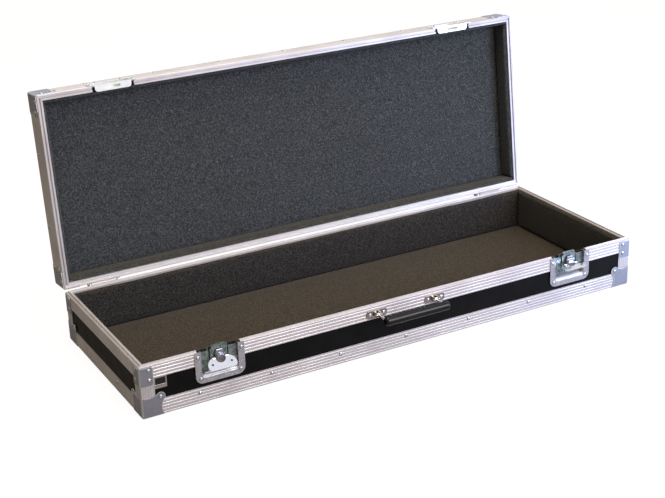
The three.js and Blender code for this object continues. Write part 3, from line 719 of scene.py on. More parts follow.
@dataclass(frozen=True)
class BrightNickel(Finish):
    """Steel under bright nickel: near mirror, with faint polishing haze."""

    colour: str = "#f4f4f4"
    hazed: str = "#e4e4e6"
    haze: float = 9.0
    roughness: Pair = (0.18, 0.08)

    def look(self, add: Adder, place: Socket) -> Look:
        """Varies the gloss and the tint with a soft noise.

        Args:
            add: Adds a node to the material.
            place: The object coordinates in metres.

        Returns:
            What the shader takes.
        """
        haze = add("TexNoise", {"Vector": place, "Scale": scale_of(self.haze), "Detail": 4.0})
        return {
            "Base Color": add("ValToRGB", [haze], ((0.35, self.hazed), (0.7, self.colour))),
            "Metallic": 1.0,
            "Roughness": add("MapRange", (haze, 0.3, 0.7, *self.roughness)),
        }


@dataclass(frozen=True)
class MouldedPlastic(Finish):
    """Injection-moulded black plastic: smooth gloss over a faint spark-eroded texture."""

    colour: str = "#0b0b0c"
    rubbed_and_edge_lit: str = "#151515"
    roughness: Pair = (0.12, 0.2)
    specular: float = 0.35
    texture: float = 0.7
    pit_depth: float = 0.05
    patch: float = 18.0

    def look(self, add: Adder, place: Socket) -> Look:
        """Bumps the gloss with a fine noise, and dulls it in broad patches.

        Args:
            add: Adds a node to the material.
            place: The object coordinates in metres.

        Returns:
            What the shader takes.
        """
        fine = add("TexNoise", {"Vector": place, "Scale": scale_of(self.texture), "Detail": 2.0})
        patches = add("TexNoise", {"Vector": place, "Scale": scale_of(self.patch), "Detail": 3.0})
        return {
            "Base Color": add("ValToRGB", [patches], ((0.4, self.colour), (0.8, self.rubbed_and_edge_lit))),
            "Roughness": add("MapRange", (patches, 0.3, 0.7, *self.roughness)),
            "Specular IOR Level": self.specular,
            "Normal": add("Bump", {"Height": fine, "Strength": 0.15, "Distance": self.pit_depth * METRES}),
        }


@dataclass(frozen=True)
class NeedledFelt(Finish):
    """Needled polyester felt: matted dark fibres with paler ones among them, soft and quite matt.

    Single fibres of 0.03 mm can't show, so the speckle is drawn at the 1 to 4 mm of a fibre's tangle.
    Painted light tints each face by the way it faces: the colour is multiplied by a cooler tone on faces that
    stand upright and by a warmer one on level ones, as the lamps above would light them.
    """

    dark: str = "#212326"
    middle: str = "#43464b"
    pale: str = "#7e8289"
    cool: str = "#2c3844"
    warm: str = "#37332a"
    upright_light: str = "#ffffff"
    level_light: str = "#faead6"
    spread: float = 0.15
    fibre: float = 1.5
    tangle: float = 3.6
    patch: float = 26.0
    pile: float = 0.7

    def look(self, add: Adder, place: Socket) -> Look:
        """Speckles the cloth at two scales, tints it in patches, paints warmer light on level faces and
        cooler light on upright ones, and raises its pile.

        Args:
            add: Adds a node to the material.
            place: The object coordinates in metres.

        Returns:
            What the shader takes.
        """
        matted = {"Detail": 3.0, "Roughness": 0.7, "Distortion": 1.2}
        fibres = add("TexNoise", {"Vector": place, "Scale": scale_of(self.fibre)} | matted)
        tangled = {"Vector": place, "Scale": scale_of(self.tangle), "Detail": 3.0, "Roughness": 0.6}
        speckle = add("Mix", {"Factor": 0.45, "A": fibres, "B": add("TexNoise", tangled)})
        tones = ((0.5 - self.spread, self.dark), (0.5, self.middle), (0.5 + self.spread, self.pale))
        colour = add("ValToRGB", [speckle], tones)
        patches = add("TexNoise", {"Vector": place, "Scale": scale_of(self.patch), "Detail": 3.0})
        tint = add("ValToRGB", [patches], ((0.4, self.cool), (0.6, self.warm)))
        tinting = {"Factor": 0.35, "A": colour, "B": tint}
        tinted = add("Mix", tinting, data_type="RGBA", blend_type="SOFT_LIGHT")
        # Painted light: level faces warmer, upright faces cooler.
        upward = add("SeparateXYZ", [add("TexCoord").outputs["Normal"]]).outputs["Z"]
        facing_light = add("ValToRGB", [upward], ((0.4, self.upright_light), (0.9, self.level_light)))
        light_by_facing = {"Factor": 1.0, "A": tinted, "B": facing_light}
        return {
            "Base Color": add("Mix", light_by_facing, data_type="RGBA", blend_type="MULTIPLY"),
            "Roughness": 0.95,
            "Specular IOR Level": 0.2,
            "Sheen Weight": 0.12,
            "Sheen Roughness": 0.5,
            "Normal": add("Bump", {"Height": speckle, "Strength": 0.8, "Distance": self.pile * METRES}),
        }


class Wardrobe:
    """All finishes of the case, each built once."""

    def __init__(self, case: Place) -> None:
        """Builds every finish.

        Args:
            case: The frame of the case, for the finish that changes with depth.
        """
        self.aluminium = {
            grain: DrawnAluminium(f"satin_aluminium_{grain.name.lower()}", grain).build() for grain in Grain
        }
        # Paler aluminium for the lid's back rail: painted light on that rim.
        self.hinge_rail_lit = DrawnAluminium("hinge_rail_painted_light_aluminium", bright="#f2eef2", dull="#e4e0e4").build()
        # Painted highlight 3 mm wide along the corners' folds.
        self.corner_steel = PlatedSteel("zinc_plated_corner", roughness=(0.5, 0.4), worn_and_edge_lit=3.0).build()
        self.latch_steel = DrawnDish("zinc_plated_dish", case.origin[1] * METRES).build()
        self.lip_steel = PlatedSteel(
            "zinc_plated_lip", "#c4c4cf", "#adadb9", metal=0.5, roughness=(0.46, 0.36), cloud=14.0
        ).build()
        # Near-white zinc for the keepers: painted light on plates that face up to the lamps.
        self.lit_keeper_steel = PlatedSteel(
            "zinc_plated_keeper", "#eef0f1", "#dcdfe2", metal=0.6, roughness=(0.32, 0.3), cloud=40.0, peel=6.0
        ).build()
        self.cam_steel = PlatedSteel("zinc_plated_cam", "#9d9aa6", "#77757f", roughness=(0.4, 0.22)).build()
        self.field = PlatedSteel(
            "blackened_field", "#1c1c1f", "#121214", metal=0.1, roughness=(0.4, 0.3), cloud=5.0
        ).build()
        self.nickel = BrightNickel("bright_nickel").build()
        # Darker, warmer nickel for the handle's brackets: painted shade and painted reflection among their
        # ears.
        self.shaded_bracket_nickel = BrightNickel(
            "shaded_bracket_nickel", "#cdc5c0", "#837974", haze=3.0, roughness=(0.24, 0.1)
        ).build()
        self.neck = BrightNickel("burnished_neck", "#cfd6e6", "#9fa6b8", haze=2.5).build()
        self.rivet = BrightNickel(
            "tumbled_rivet_aluminium", "#dfe3ee", "#9fa2ad", haze=3.0, roughness=(0.3, 0.18)
        ).build()
        self.plate = BrightNickel("pressed_plate", "#dcdce0", "#c8c8ce", roughness=(0.3, 0.2)).build()
        self.laminate = BlackLaminate("black_laminate").build()
        self.plastic = MouldedPlastic("moulded_black_plastic").build()
        self.lid_felt = NeedledFelt("needled_felt_lid").build()
        self.base_felt = NeedledFelt(
            "needled_felt_base",
            dark="#1b1918",
            middle="#3a3733",
            pale="#76716a",
            cool="#2b2f34",
            warm="#3b3226",
            # Painted light: a cool tone for the upright walls and a warm one for the level floor.
            upright_light="#dddff2",
            level_light="#fdecd8",
            fibre=1.2,
            tangle=2.8,
            spread=0.12,
        ).build()


# ---------------------------------------------------------------------------------------------
# The case
# ---------------------------------------------------------------------------------------------


@dataclass
class Shell:
    """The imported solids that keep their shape: boards, edging, pressings and hinges."""

    wardrobe: Wardrobe
    nodes: dict[str, bpy.types.Object]

    def aluminium_of(self, name: str) -> bpy.types.Material:
        """The aluminium of a bar of edging, with its die lines along the bar.

        Args:
            name: The bar's node.

        Returns:
            The material. The lid's back rail, at the hinges, gets a paler aluminium: painted light that
            brightens that rim.
        """
        # The hinge rail takes the paler aluminium as painted light.
        if name == "lid_rail_back":
            return self.wardrobe.hinge_rail_lit
        if "upright" in name:
            return self.wardrobe.aluminium[Grain.UP]
        if name.endswith(("edging_left", "edging_right", "rail_left", "rail_right")):
            return self.wardrobe.aluminium[Grain.LID_DEEP if name.startswith("lid") else Grain.DEEP]
        return self.wardrobe.aluminium[Grain.ALONG]

    def build(self) -> None:
        """Dresses every node after what it is made of."""
        finish_of = {
            "board": self.wardrobe.laminate,
            "corner": self.wardrobe.corner_steel,
            "brace": self.wardrobe.corner_steel,
            "leaf": self.wardrobe.aluminium[Grain.ALONG],
            "dish": self.wardrobe.latch_steel,
            "keeper": self.wardrobe.lit_keeper_steel,
            "hook": self.wardrobe.latch_steel,
            "cam": self.wardrobe.cam_steel,
            "wing": self.wardrobe.nickel,
            "bracket": self.wardrobe.shaded_bracket_nickel,
            "grip": self.wardrobe.plastic,
            "base_lining": self.wardrobe.base_felt,
            "lid_lining": self.wardrobe.lid_felt,
        }
        for name, node in self.nodes.items():
            if any(word in name for word in ("edging", "rail", "upright")):
                dress(node, self.aluminium_of(name))
            else:
                dress(node, next(finish for word, finish in finish_of.items() if word in name))
        LOG.info("shell: %d nodes dressed", len(self.nodes))


@dataclass
class Rivets:
    """Blind rivets with domed heads, which hold the edging and every fitting."""

    wardrobe: Wardrobe
    case: Place
    lid: Place
    head_radius: float = 4.4
    head_height: float = 1.5
    dome: tuple[float, ...] = (1.0, 0.97, 0.86, 0.66, 0.42)
    dome_power: float = 2.2
    rim: float = 0.12
    hole_radius: float = 1.5
    hole_rim: float = 0.25
    hole_depth: float = 1.25
    sink: float = 0.4
    turns: int = 16
    edging_pitch: float = 163.0
    edging_level: float = 23.0
    lid_edging_down: float = 14.0
    side_from_front: Pair = (136.0, 302.0)
    brace_in: float = 19.5
    brace_levels: Pair = (103.2, 81.9)
    lug: float = 40.5
    lid_corner_in: float = 15.0
    lid_corner_up: float = 11.0
    dish: tuple[Pair, Pair] = ((48.4, 101.1), (44.3, 52.7))
    keeper: tuple[Pair, Pair] = ((48.4, 11.4), (30.0, 31.0))
    bracket_half_pitch: float = 16.5
    bracket_proud: float = 1.8

    def head(self) -> Shape:
        """One rivet head about the third axis, with the mandrel's hole in its crown.

        The dome is height times the root of 1 - (r / radius)^power above a low rim, drawn in rings,
        and the hole is a short step down from a rim of its own to a flat.

        Returns:
            The head.
        """
        share = np.array(self.dome)
        height = self.head_height * (1 - share**self.dome_power) ** 0.5 + self.rim
        crown = height[-1] + self.rim
        hole = [
            [self.hole_radius + self.hole_rim, crown],
            [self.hole_radius, height[-1]],
            [self.hole_radius, crown - self.hole_depth],
            [0.0, crown - self.hole_depth],
        ]
        foot = [[0.0, -self.sink], [self.head_radius, -self.sink]]
        dome = np.stack([share * self.head_radius, height], axis=1)
        return lathe(np.concatenate([foot, dome, hole]), self.turns)

    def on_face(
        self, place: Place, normal: Sequence[float], points: Sequence[Sequence[float]]
    ) -> list[Place]:
        """Frames for rivets on one flat face.

        Args:
            place: The case's or the lid's frame.
            normal: The face's outward direction.
            points: Where the rivets sit.

        Returns:
            A frame for each rivet, with its third axis outward.
        """
        return [place.moved(point, facing(normal)) for point in points]

    def edging(self, place: Place, level: float) -> list[Place]:
        """Rivets along one angle of edging, all round.

        Args:
            place: The case's or the lid's frame.
            level: Their height in that frame.

        Returns:
            A frame for each rivet.
        """
        x, y = CASE.half_length, CASE.half_depth
        along = [step * self.edging_pitch for step in range(-3, 4)]
        deep = [distance - y for distance in self.side_from_front]
        found = []
        for side in SIDES:
            found += self.on_face(place, (0, side, 0), [(spot, side * y, level) for spot in along])
        for side in SIDES:
            found += self.on_face(place, (side, 0, 0), [(side * x, spot, level) for spot in deep])
        return found

    def at_corners(self, place: Place, inward: float, level: float) -> list[Place]:
        """Rivets on both upright faces of the four corners.

        Args:
            place: The case's or the lid's frame.
            inward: How far they sit from the corner along each face.
            level: Their height in that frame.

        Returns:
            A frame for each rivet.
        """
        x, y, proud = CASE.half_length, CASE.half_depth, CASE.steel_proud
        found = []
        for sx in SIDES:
            for sy in SIDES:
                found += self.on_face(place, (0, sy, 0), [(sx * (x - inward), sy * (y + proud), level)])
                found += self.on_face(place, (sx, 0, 0), [(sx * (x + proud), sy * (y - inward), level)])
        return found

    def on_cover(self, place: Place, level: float, up: int) -> list[Place]:
        """Rivets in the lugs of the corners' level faces.

        Args:
            place: The case's or the lid's frame.
            level: Height of the faces.
            up: 1 where the faces look up, and -1 where they look down.

        Returns:
            A frame for each rivet.
        """
        x, y = CASE.half_length - self.lug, CASE.half_depth - self.lug
        return self.on_face(place, (0, 0, up), [(sx * x, sy * y, level) for sx in SIDES for sy in SIDES])

    def at_front(self, place: Place, middle: float, proud: float, spots: Sequence[Pair]) -> list[Place]:
        """Rivets in both fittings of a pair at the front.

        Args:
            place: The case's or the lid's frame.
            middle: How far each fitting's middle lies from the case's.
            proud: How far their flanges stand out.
            spots: Each rivet's distance from that middle, on both hands, and its level.

        Returns:
            A frame for each rivet.
        """
        points = [
            (side * middle + hand * across, -CASE.half_depth - proud, level)
            for side in SIDES
            for hand in SIDES
            for across, level in spots
        ]
        return self.on_face(place, (0, -1, 0), points)

    def build(self) -> None:
        """Makes one piece of rivets for the base and one for the lid."""
        base = self.edging(self.case, CASE.under + self.edging_level)
        for level in self.brace_levels:
            base += self.at_corners(self.case, self.brace_in, CASE.under + level)
        base += self.at_corners(self.case, self.lug, CASE.under + self.lug)
        base += self.on_cover(self.case, CASE.under - CASE.steel_proud, -1)
        base += self.at_front(self.case, CASE.latch_x, CASE.steel_proud, self.dish)
        bracket = ((self.bracket_half_pitch, CASE.handle_z),)
        base += self.at_front(self.case, CASE.handle_half, self.bracket_proud, bracket)
        lid = self.edging(self.lid, CASE.lid_top - self.lid_edging_down)
        lid += self.at_corners(self.lid, self.lug, CASE.lid_top - self.lug)
        lid += self.at_corners(self.lid, self.lid_corner_in, CASE.lid_face + self.lid_corner_up)
        lid += self.on_cover(self.lid, CASE.lid_top + CASE.steel_proud, 1)
        keeper = [(across, CASE.lid_face + up) for across, up in self.keeper]
        lid += self.at_front(self.lid, CASE.latch_x, CASE.steel_proud, keeper)
        head = self.head()
        for body, places in (("base", base), ("lid", lid)):
            shape = merged([head.at(place) for place in places])
            piece = make_piece(f"rivets_{body}", shape, body, self.wardrobe.rivet)
            LOG.info("rivets: %d on the %s", len(places), body)


@dataclass(frozen=True)
class Pad:
    """A padded panel glued to a board, in millimetres of its own frame.

    The first two axes lie along the panel from its middle, and the third points out of it from its
    back. Each hollow (low, high, from, depth) lifts the back where the panel clears a fitting, from
    low to high along the first axis and from the given place upward along the second.
    """

    place: Place
    length: float
    width: float
    thickness: float
    hollows: tuple[tuple[float, float, float, float], ...] = ()
    rim: float = 4.0
    rim_steps: tuple[float, ...] = (0.0, 0.06, 0.2, 0.42, 0.7, 1.0, 1.6)
    roundness: float = 2.4
    crown: float = 0.4
    step: float = 15.0
    skin: float = 0.6

    def spread(self, span: float) -> Array:
        """Distances from the middle along one side, closer together at both rims.

        Args:
            span: The side's length.

        Returns:
            The distances, rising.
        """
        near = self.rim * np.array(self.rim_steps)
        count = max(2, round((span - 2 * near[-1]) / self.step))
        inner = np.linspace(near[-1] - span / 2, span / 2 - near[-1], count + 1)
        return np.concatenate([near[:-1] - span / 2, inner, span / 2 - near[-2::-1]])

    def shape(self) -> tuple[Shape, Array]:
        """The panel with its face and its back.

        With d the distance from a side, f is (1 - (1 - min(d / rim, 1))^n)^(1 / n). The face stands
        thickness times both sides' f above the back, plus crown (1 - (2u / length)^2)
        (1 - (2v / width)^2), and a skin at the least above the hollows.

        Returns:
            The closed shape, and the numbers of its points that are glued down: the face's border and
            the whole back.
        """
        u, v = np.meshgrid(self.spread(self.length), self.spread(self.width), indexing="ij")
        rise, swell = np.ones_like(u), np.full_like(u, self.crown)
        for along, span in ((u, self.length), (v, self.width)):
            inside = np.clip((span / 2 - np.abs(along)) / self.rim, 0, 1)
            rise = rise * (1 - (1 - inside) ** self.roundness) ** (1 / self.roundness)
            swell = swell * (1 - (2 * along / span) ** 2)
        back = np.zeros_like(u)
        for low, high, start, depth in self.hollows:
            back = np.where((u > low) & (u < high) & (v > start), np.maximum(back, depth), back)
        face = np.maximum(self.thickness * rise + swell, back + self.skin)
        sheet = closed_sheet(*(self.place.put(np.stack([u, v, height], axis=-1)) for height in (face, back)))
        return sheet, np.concatenate([border(*u.shape), np.arange(u.size, 2 * u.size)])


@dataclass
class Lining:
    """The felted padding of one half: a floor panel and four wall panels that meet in creases.

    Heights run from the back of the floor panel to the open edge. The walls press into the soft
    floor panel by the sink. All are made thinner than the plain solid by the slack, and swell into it.
    """

    wardrobe: Wardrobe
    place: Place
    body: str
    depth: float
    pocket_from: float
    pocket_depth: float
    leg_from: float
    out: Pair = (603.6, 206.6)
    floor_thickness: float = 4.9
    slack: float = 1.5
    leg_depth: float = 1.8
    pocket_half: float = 52.0
    gap: float = 0.25
    sink: float = 2.5
    frames: int = 14
    pressure: float = 4.0

    def pads(self) -> list[Pad]:
        """The panels, whose backs clear the rails' legs and the latch dishes.

        Returns:
            The floor panel and the four wall panels.
        """
        x, y = self.out
        up = np.array([0.0, 0.0, 1.0])
        bottom = self.floor_thickness - self.sink
        width, middle = self.depth - bottom, (self.depth + bottom) / 2
        pockets = [
            (
                hand * CASE.latch_x - self.pocket_half,
                hand * CASE.latch_x + self.pocket_half,
                self.pocket_from - middle,
                self.pocket_depth,
            )
            for hand in SIDES
        ]
        pads = [Pad(self.place, 2 * x - self.gap, 2 * y - self.gap, self.floor_thickness - self.slack)]
        across = 2 * CASE.inner_y - self.gap
        for side in SIDES:
            for normal, spot, length, thickness, hollows in (
                ((0.0, -side, 0.0), (0.0, side * y, middle), 2 * x, y - CASE.inner_y, pockets),
                ((-side, 0.0, 0.0), (side * x, 0.0, middle), across, x - CASE.inner_x, []),
            ):
                frame = self.place.moved(spot, np.stack([np.cross(up, normal), up, normal], axis=1))
                leg = (-length, length, self.leg_from - middle, self.leg_depth)
                pads.append(Pad(frame, length, width, thickness - self.slack, (leg, *hollows)))
        return pads

    def swell(self, piece: bpy.types.Object, held: Array) -> None:
        """Blows the pads up with Blender's cloth and applies what it gives, capped at the slack.

        Args:
            piece: The mesh of all pads.
            held: Numbers of the points that are glued down.
        """
        scene = bpy.context.scene
        piece.vertex_groups.new(name="glued").add(held.tolist(), 1.0, "REPLACE")
        cloth = piece.modifiers.new("felt", "CLOTH")
        cloth.settings.vertex_group_mass = "glued"
        cloth.settings.use_pressure = True
        cloth.settings.uniform_pressure_force = self.pressure
        cloth.settings.effector_weights.gravity = 0.0
        cloth.point_cache.frame_end = self.frames
        for number in range(1, self.frames + 1):
            scene.frame_set(number)
        count = len(piece.data.vertices)
        rest, blown = np.empty(count * 3), np.empty(count * 3)
        piece.data.vertices.foreach_get("co", rest)
        piece.evaluated_get(bpy.context.evaluated_depsgraph_get()).data.vertices.foreach_get("co", blown)
        move = (blown - rest).reshape(-1, 3)
        size = np.linalg.norm(move, axis=1, keepdims=True)
        move *= np.minimum(1.0, self.slack * METRES / np.maximum(size, 1e-9))
        piece.modifiers.remove(cloth)
        piece.data.vertices.foreach_set("co", rest + move.ravel())
        piece.data.update()
        scene.frame_set(1)
        LOG.info("%s: swelled by up to %.2f mm", piece.name, np.abs(move).max() / METRES)

    def build(self) -> None:
        """Makes the pads of this half as one piece, which replaces the plain solid."""
        shapes, glued = zip(*(pad.shape() for pad in self.pads()))
        starts = np.cumsum([0] + [len(shape.points) for shape in shapes])
        felt = self.wardrobe.base_felt if self.body == "base" else self.wardrobe.lid_felt
        piece = make_piece(f"{self.body}_padding", merged(shapes), self.body, felt)
        self.swell(piece, np.concatenate([numbers + start for numbers, start in zip(glued, starts)]))
        smooth = piece.modifiers.new("smooth", "SUBSURF")
        smooth.levels = smooth.render_levels = 1
        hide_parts(f"{self.body}_lining")
        LOG.info("%s: %d pads, %d points", piece.name, len(shapes), starts[-1])


@dataclass
class Handle:
    """The swinging handle: a moulded bar on two nickel arms, hanging down from the pivots as drawn."""

    wardrobe: Wardrobe
    case: Place
    half_length: float = 79.5
    size: Pair = (21.0, 20.0)
    end_round: float = 5.0
    end_steps: int = 9
    squareness: float = 0.96
    steps: int = 60
    sides: int = 64
    seam: float = 0.35
    seam_width: float = 0.05
    arm_size: Pair = (7.0, 6.4)
    collar_size: Pair = (11.0, 10.0)
    collar_height: float = 2.2
    collar_edge: Pair = (1.2, 0.3)
    boss_radius: float = 4.6
    boss_edge: float = 0.5
    pin_radius: float = 1.8
    pin_reach: float = 6.6
    head_radius: float = 3.0
    head_flat: float = 0.7
    head_height: float = 1.1
    head_edge: float = 0.3
    turns: int = 24

    def section(self, wide: Array, thick: Array, seam: float = 0.0) -> Array:
        """Squarish ovals: (wide / 2) sign(cos t) |cos t|^q and (thick / 2) sign(sin t) |sin t|^q.

        A fine groove is drawn in at both mould lines, where the sine is one.

        Args:
            wide: Full width at each step.
            thick: Full thickness at each step.
            seam: Depth of the groove.

        Returns:
            Points (steps, sides, 2).
        """
        turn = 2 * math.pi * (np.arange(self.sides) + 0.5) / self.sides
        c, s = np.cos(turn), np.sin(turn)
        groove = 1 - 2 * seam / thick[:, None] * np.exp(-((c / self.seam_width) ** 2))
        across = wide[:, None] / 2 * np.sign(c) * np.abs(c) ** self.squareness
        beside = thick[:, None] / 2 * np.sign(s) * np.abs(s) ** self.squareness * groove
        return np.stack([across, beside], axis=-1)

    def bar(self) -> Shape:
        """The moulded bar, straight along X, with ends rounded by a quarter circle.

        Returns:
            The bar in the handle's own frame.
        """
        turn = np.linspace(0, math.pi / 2, self.end_steps)
        end = self.end_round * (1 - np.cos(turn)) - self.half_length
        inset = self.end_round * (1 - np.sin(turn))
        x = np.concatenate([end, np.linspace(end[-1], -end[-1], self.steps)[1:-1], -end[::-1]])
        inset = np.concatenate([inset, np.zeros(self.steps - 2), inset[::-1]])
        line = np.stack([x, np.zeros_like(x), np.full_like(x, -CASE.handle_drop)], axis=1)
        section = self.section(self.size[0] - 2 * inset, self.size[1] - 2 * inset, self.seam)
        return swept(line, (0.0, 0.0, -1.0), (0.0, 1.0, 0.0), section)

    def post(self, x: float, levels: Sequence[float], sizes: Sequence[Pair]) -> Shape:
        """An upright sweep at one pivot.

        Args:
            x: The pivot's place along the case.
            levels: How far each section lies below the pivot.
            sizes: Each section's width and thickness.

        Returns:
            The sweep.
        """
        drop = np.array(levels)
        line = np.stack([np.full_like(drop, x), np.zeros_like(drop), -drop], axis=1)
        return swept(line, (1.0, 0.0, 0.0), (0.0, -1.0, 0.0), self.section(*np.array(sizes).T))

    def boss(self) -> Shape:
        """The eye of an arm with its headed pin, about the third axis.

        Returns:
            The eye and the pin as one turned shape.
        """
        half = self.arm_size[0] / 2
        end = -self.pin_reach - self.head_height
        outline = np.array(
            [
                [0.0, end],
                [self.head_radius * self.head_flat, end],
                [self.head_radius, -self.pin_reach - self.head_edge],
                [self.head_radius, -self.pin_reach],
                [self.pin_radius, -self.pin_reach],
                [self.pin_radius, -half],
                [self.boss_radius - self.boss_edge, -half],
                [self.boss_radius, -half + self.boss_edge],
            ]
        )
        return lathe(np.concatenate([outline, outline[::-1] * [1, -1]]), self.turns)

    def build(self) -> None:
        """Makes the bar and the metal of both arms, raised as in the photograph."""
        frame = self.case.moved((0, CASE.handle_y, CASE.handle_z), turn_about_x(-CASE.handle_raised))
        grip = make_piece("grip_moulding", self.bar().at(frame), "handle", self.wardrobe.plastic)
        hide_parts("handle_grip")
        low = CASE.handle_drop - self.size[0] / 2
        high = low - self.collar_height
        (wide, thick), (edge, edge_height) = self.collar_size, self.collar_edge
        shapes = []
        for side in SIDES:
            x = side * CASE.handle_half
            shapes.append(self.post(x, (0.0, CASE.handle_drop), (self.arm_size, self.arm_size)))
            shapes.append(
                self.post(
                    x,
                    (high, high + edge_height, low, CASE.handle_drop),
                    ((wide - edge, thick - edge), *[self.collar_size] * 3),
                )
            )
            shapes.append(self.boss().at(Place(np.array([x, 0.0, 0.0]), facing((1, 0, 0)))))
        arms = make_piece("grip_arms", merged(shapes).at(frame), "handle", self.wardrobe.nickel)
        LOG.info("handle: bar and arms")


@dataclass
class LatchTrim:
    """What dresses the latches: the rolled lip in each pan and the bright neck on each turning boss."""

    wardrobe: Wardrobe
    case: Place
    roll: float = 9.5
    roll_up: float = 10.0
    fade: float = 0.82
    fade_over: float = 2.2
    overlap: float = 1.0
    proud: float = 1.9
    edge: float = 0.25
    sheet: float = 0.3
    neck_half: float = 8.6
    neck: Pair = (1.5, 18.0)
    neck_square: float = 5.0
    neck_proud: float = 0.8
    neck_inside: float = 0.5
    neck_slope: float = 0.8
    neck_behind: float = 1.3
    neck_rim: float = 0.12
    neck_sunk: Pair = (0.6, 0.7)
    steps: int = 24
    corner_steps: int = 10
    rise_steps: int = 8
    run_steps: int = 30

    def lip(self) -> Shape:
        """The lower wall of a pan, rolled over from the flange down to the pan's floor.

        It runs down one side, round both lower corners and up the other side. Across it, with q from 0
        at the flange to 1, it lies roll q inward and floor (1 - root(1 - q^2)) deep, and its width
        fades to under a fifth up the sides.

        Returns:
            The lip in the latch's frame.
        """
        x, low, radius = CASE.pan_half, CASE.pan_low, CASE.pan_round
        turn = np.linspace(0, math.pi / 2, self.corner_steps)
        rise = np.linspace(self.roll_up, 0, self.rise_steps)[:-1] + low + radius
        run = np.linspace(radius - x, x - radius, self.run_steps)[1:-1]
        corner = np.stack([radius - x - radius * np.cos(turn), low + radius - radius * np.sin(turn)], axis=1)
        path = np.concatenate(
            [
                np.stack([np.full_like(rise, -x), rise], axis=1),
                corner,
                np.stack([run, np.full_like(run, low)], axis=1),
                corner[::-1] * [-1, 1],
                np.stack([np.full_like(rise, x), rise[::-1]], axis=1),
            ]
        )
        inward = np.concatenate(
            [
                np.tile([1.0, 0.0], (len(rise), 1)),
                np.stack([np.cos(turn), np.sin(turn)], axis=1),
                np.tile([0.0, 1.0], (len(run), 1)),
                np.stack([-np.cos(turn), np.sin(turn)], axis=1)[::-1],
                np.tile([-1.0, 0.0], (len(rise), 1)),
            ]
        )
        height = np.clip((path[:, 1] - low) / (radius + self.roll_up), 0, 1)
        width = self.roll * (1 - self.fade * np.clip(height * self.fade_over, 0, 1))
        q = np.sin(np.linspace(0, math.pi / 2, self.steps))[1:]
        across = np.concatenate([[-self.overlap, 0.0], q])
        reach = np.where(across < 0, across, across * width[:, None])
        spots = path[:, None] + inward[:, None] * reach[..., None]
        curve = CASE.pan_floor * (1 - np.sqrt(1 - q**2))
        depth = np.broadcast_to(np.concatenate([[self.edge - self.proud, -self.proud], curve]), reach.shape)
        behind = np.maximum(depth, np.where(across < 0, self.sheet - self.proud, CASE.pan_floor))
        return closed_sheet(*(np.stack([spots[..., 0], y, spots[..., 1]], axis=-1) for y in (depth, behind)))

    def boss_neck(self) -> Shape:
        """The neck over the upper half of the boss, about the boss's centre.

        It stands proud of the boss's face inside the boss's radius and steps back outside it, where the
        wing folds flat over it. Its outline is a squarish oval |u|^5 + |w|^5 = 1, and its border is
        drawn in by a quarter circle.

        Returns:
            The neck in the latch's frame.
        """
        ease = np.sin(np.linspace(-math.pi / 2, math.pi / 2, self.steps))
        middle, half = sum(self.neck) / 2, (self.neck[1] - self.neck[0]) / 2
        u, w = np.meshgrid(ease, ease, indexing="ij")
        far = np.maximum(np.abs(u), np.abs(w))
        corner = (np.abs(u) ** self.neck_square + np.abs(w) ** self.neck_square) ** (1 / self.neck_square)
        shrink = far / np.maximum(corner, 1e-6)
        x, z = self.neck_half * u * shrink, middle + half * w * shrink
        near = np.clip((CASE.cam_radius - self.neck_inside - np.hypot(x, z)) / self.neck_slope, 0, 1)
        far_y, near_y = -self.neck_behind, -CASE.cam_proud - self.neck_proud
        lift = np.sqrt(1 - (1 - np.clip((1 - far) / self.neck_rim, 0, 1)) ** 2)
        front = (far_y + (near_y - far_y) * near) * lift + self.neck_sunk[0] * (1 - lift)
        back = np.full_like(front, self.neck_sunk[1])
        return closed_sheet(*(np.stack([x, y, z - CASE.cam_drop], axis=-1) for y in (front, back)))

    def build(self) -> None:
        """Makes a lip and a neck for both latches."""
        lip, neck = self.lip(), self.boss_neck()
        for side, hand in (("left", -1), ("right", 1)):
            place = self.case.moved((hand * CASE.latch_x, -CASE.half_depth, CASE.join))
            for name, shape, body, finish, slot in (
                (f"dish_lip_{side}", lip, "base", self.wardrobe.lip_steel, "latch_steel"),
                (f"boss_neck_{side}", neck, f"cam_{side}", self.wardrobe.neck, "nickel"),
            ):
                piece = make_piece(name, shape.at(place), body, finish)
        LOG.info("latches: two lips and two necks")


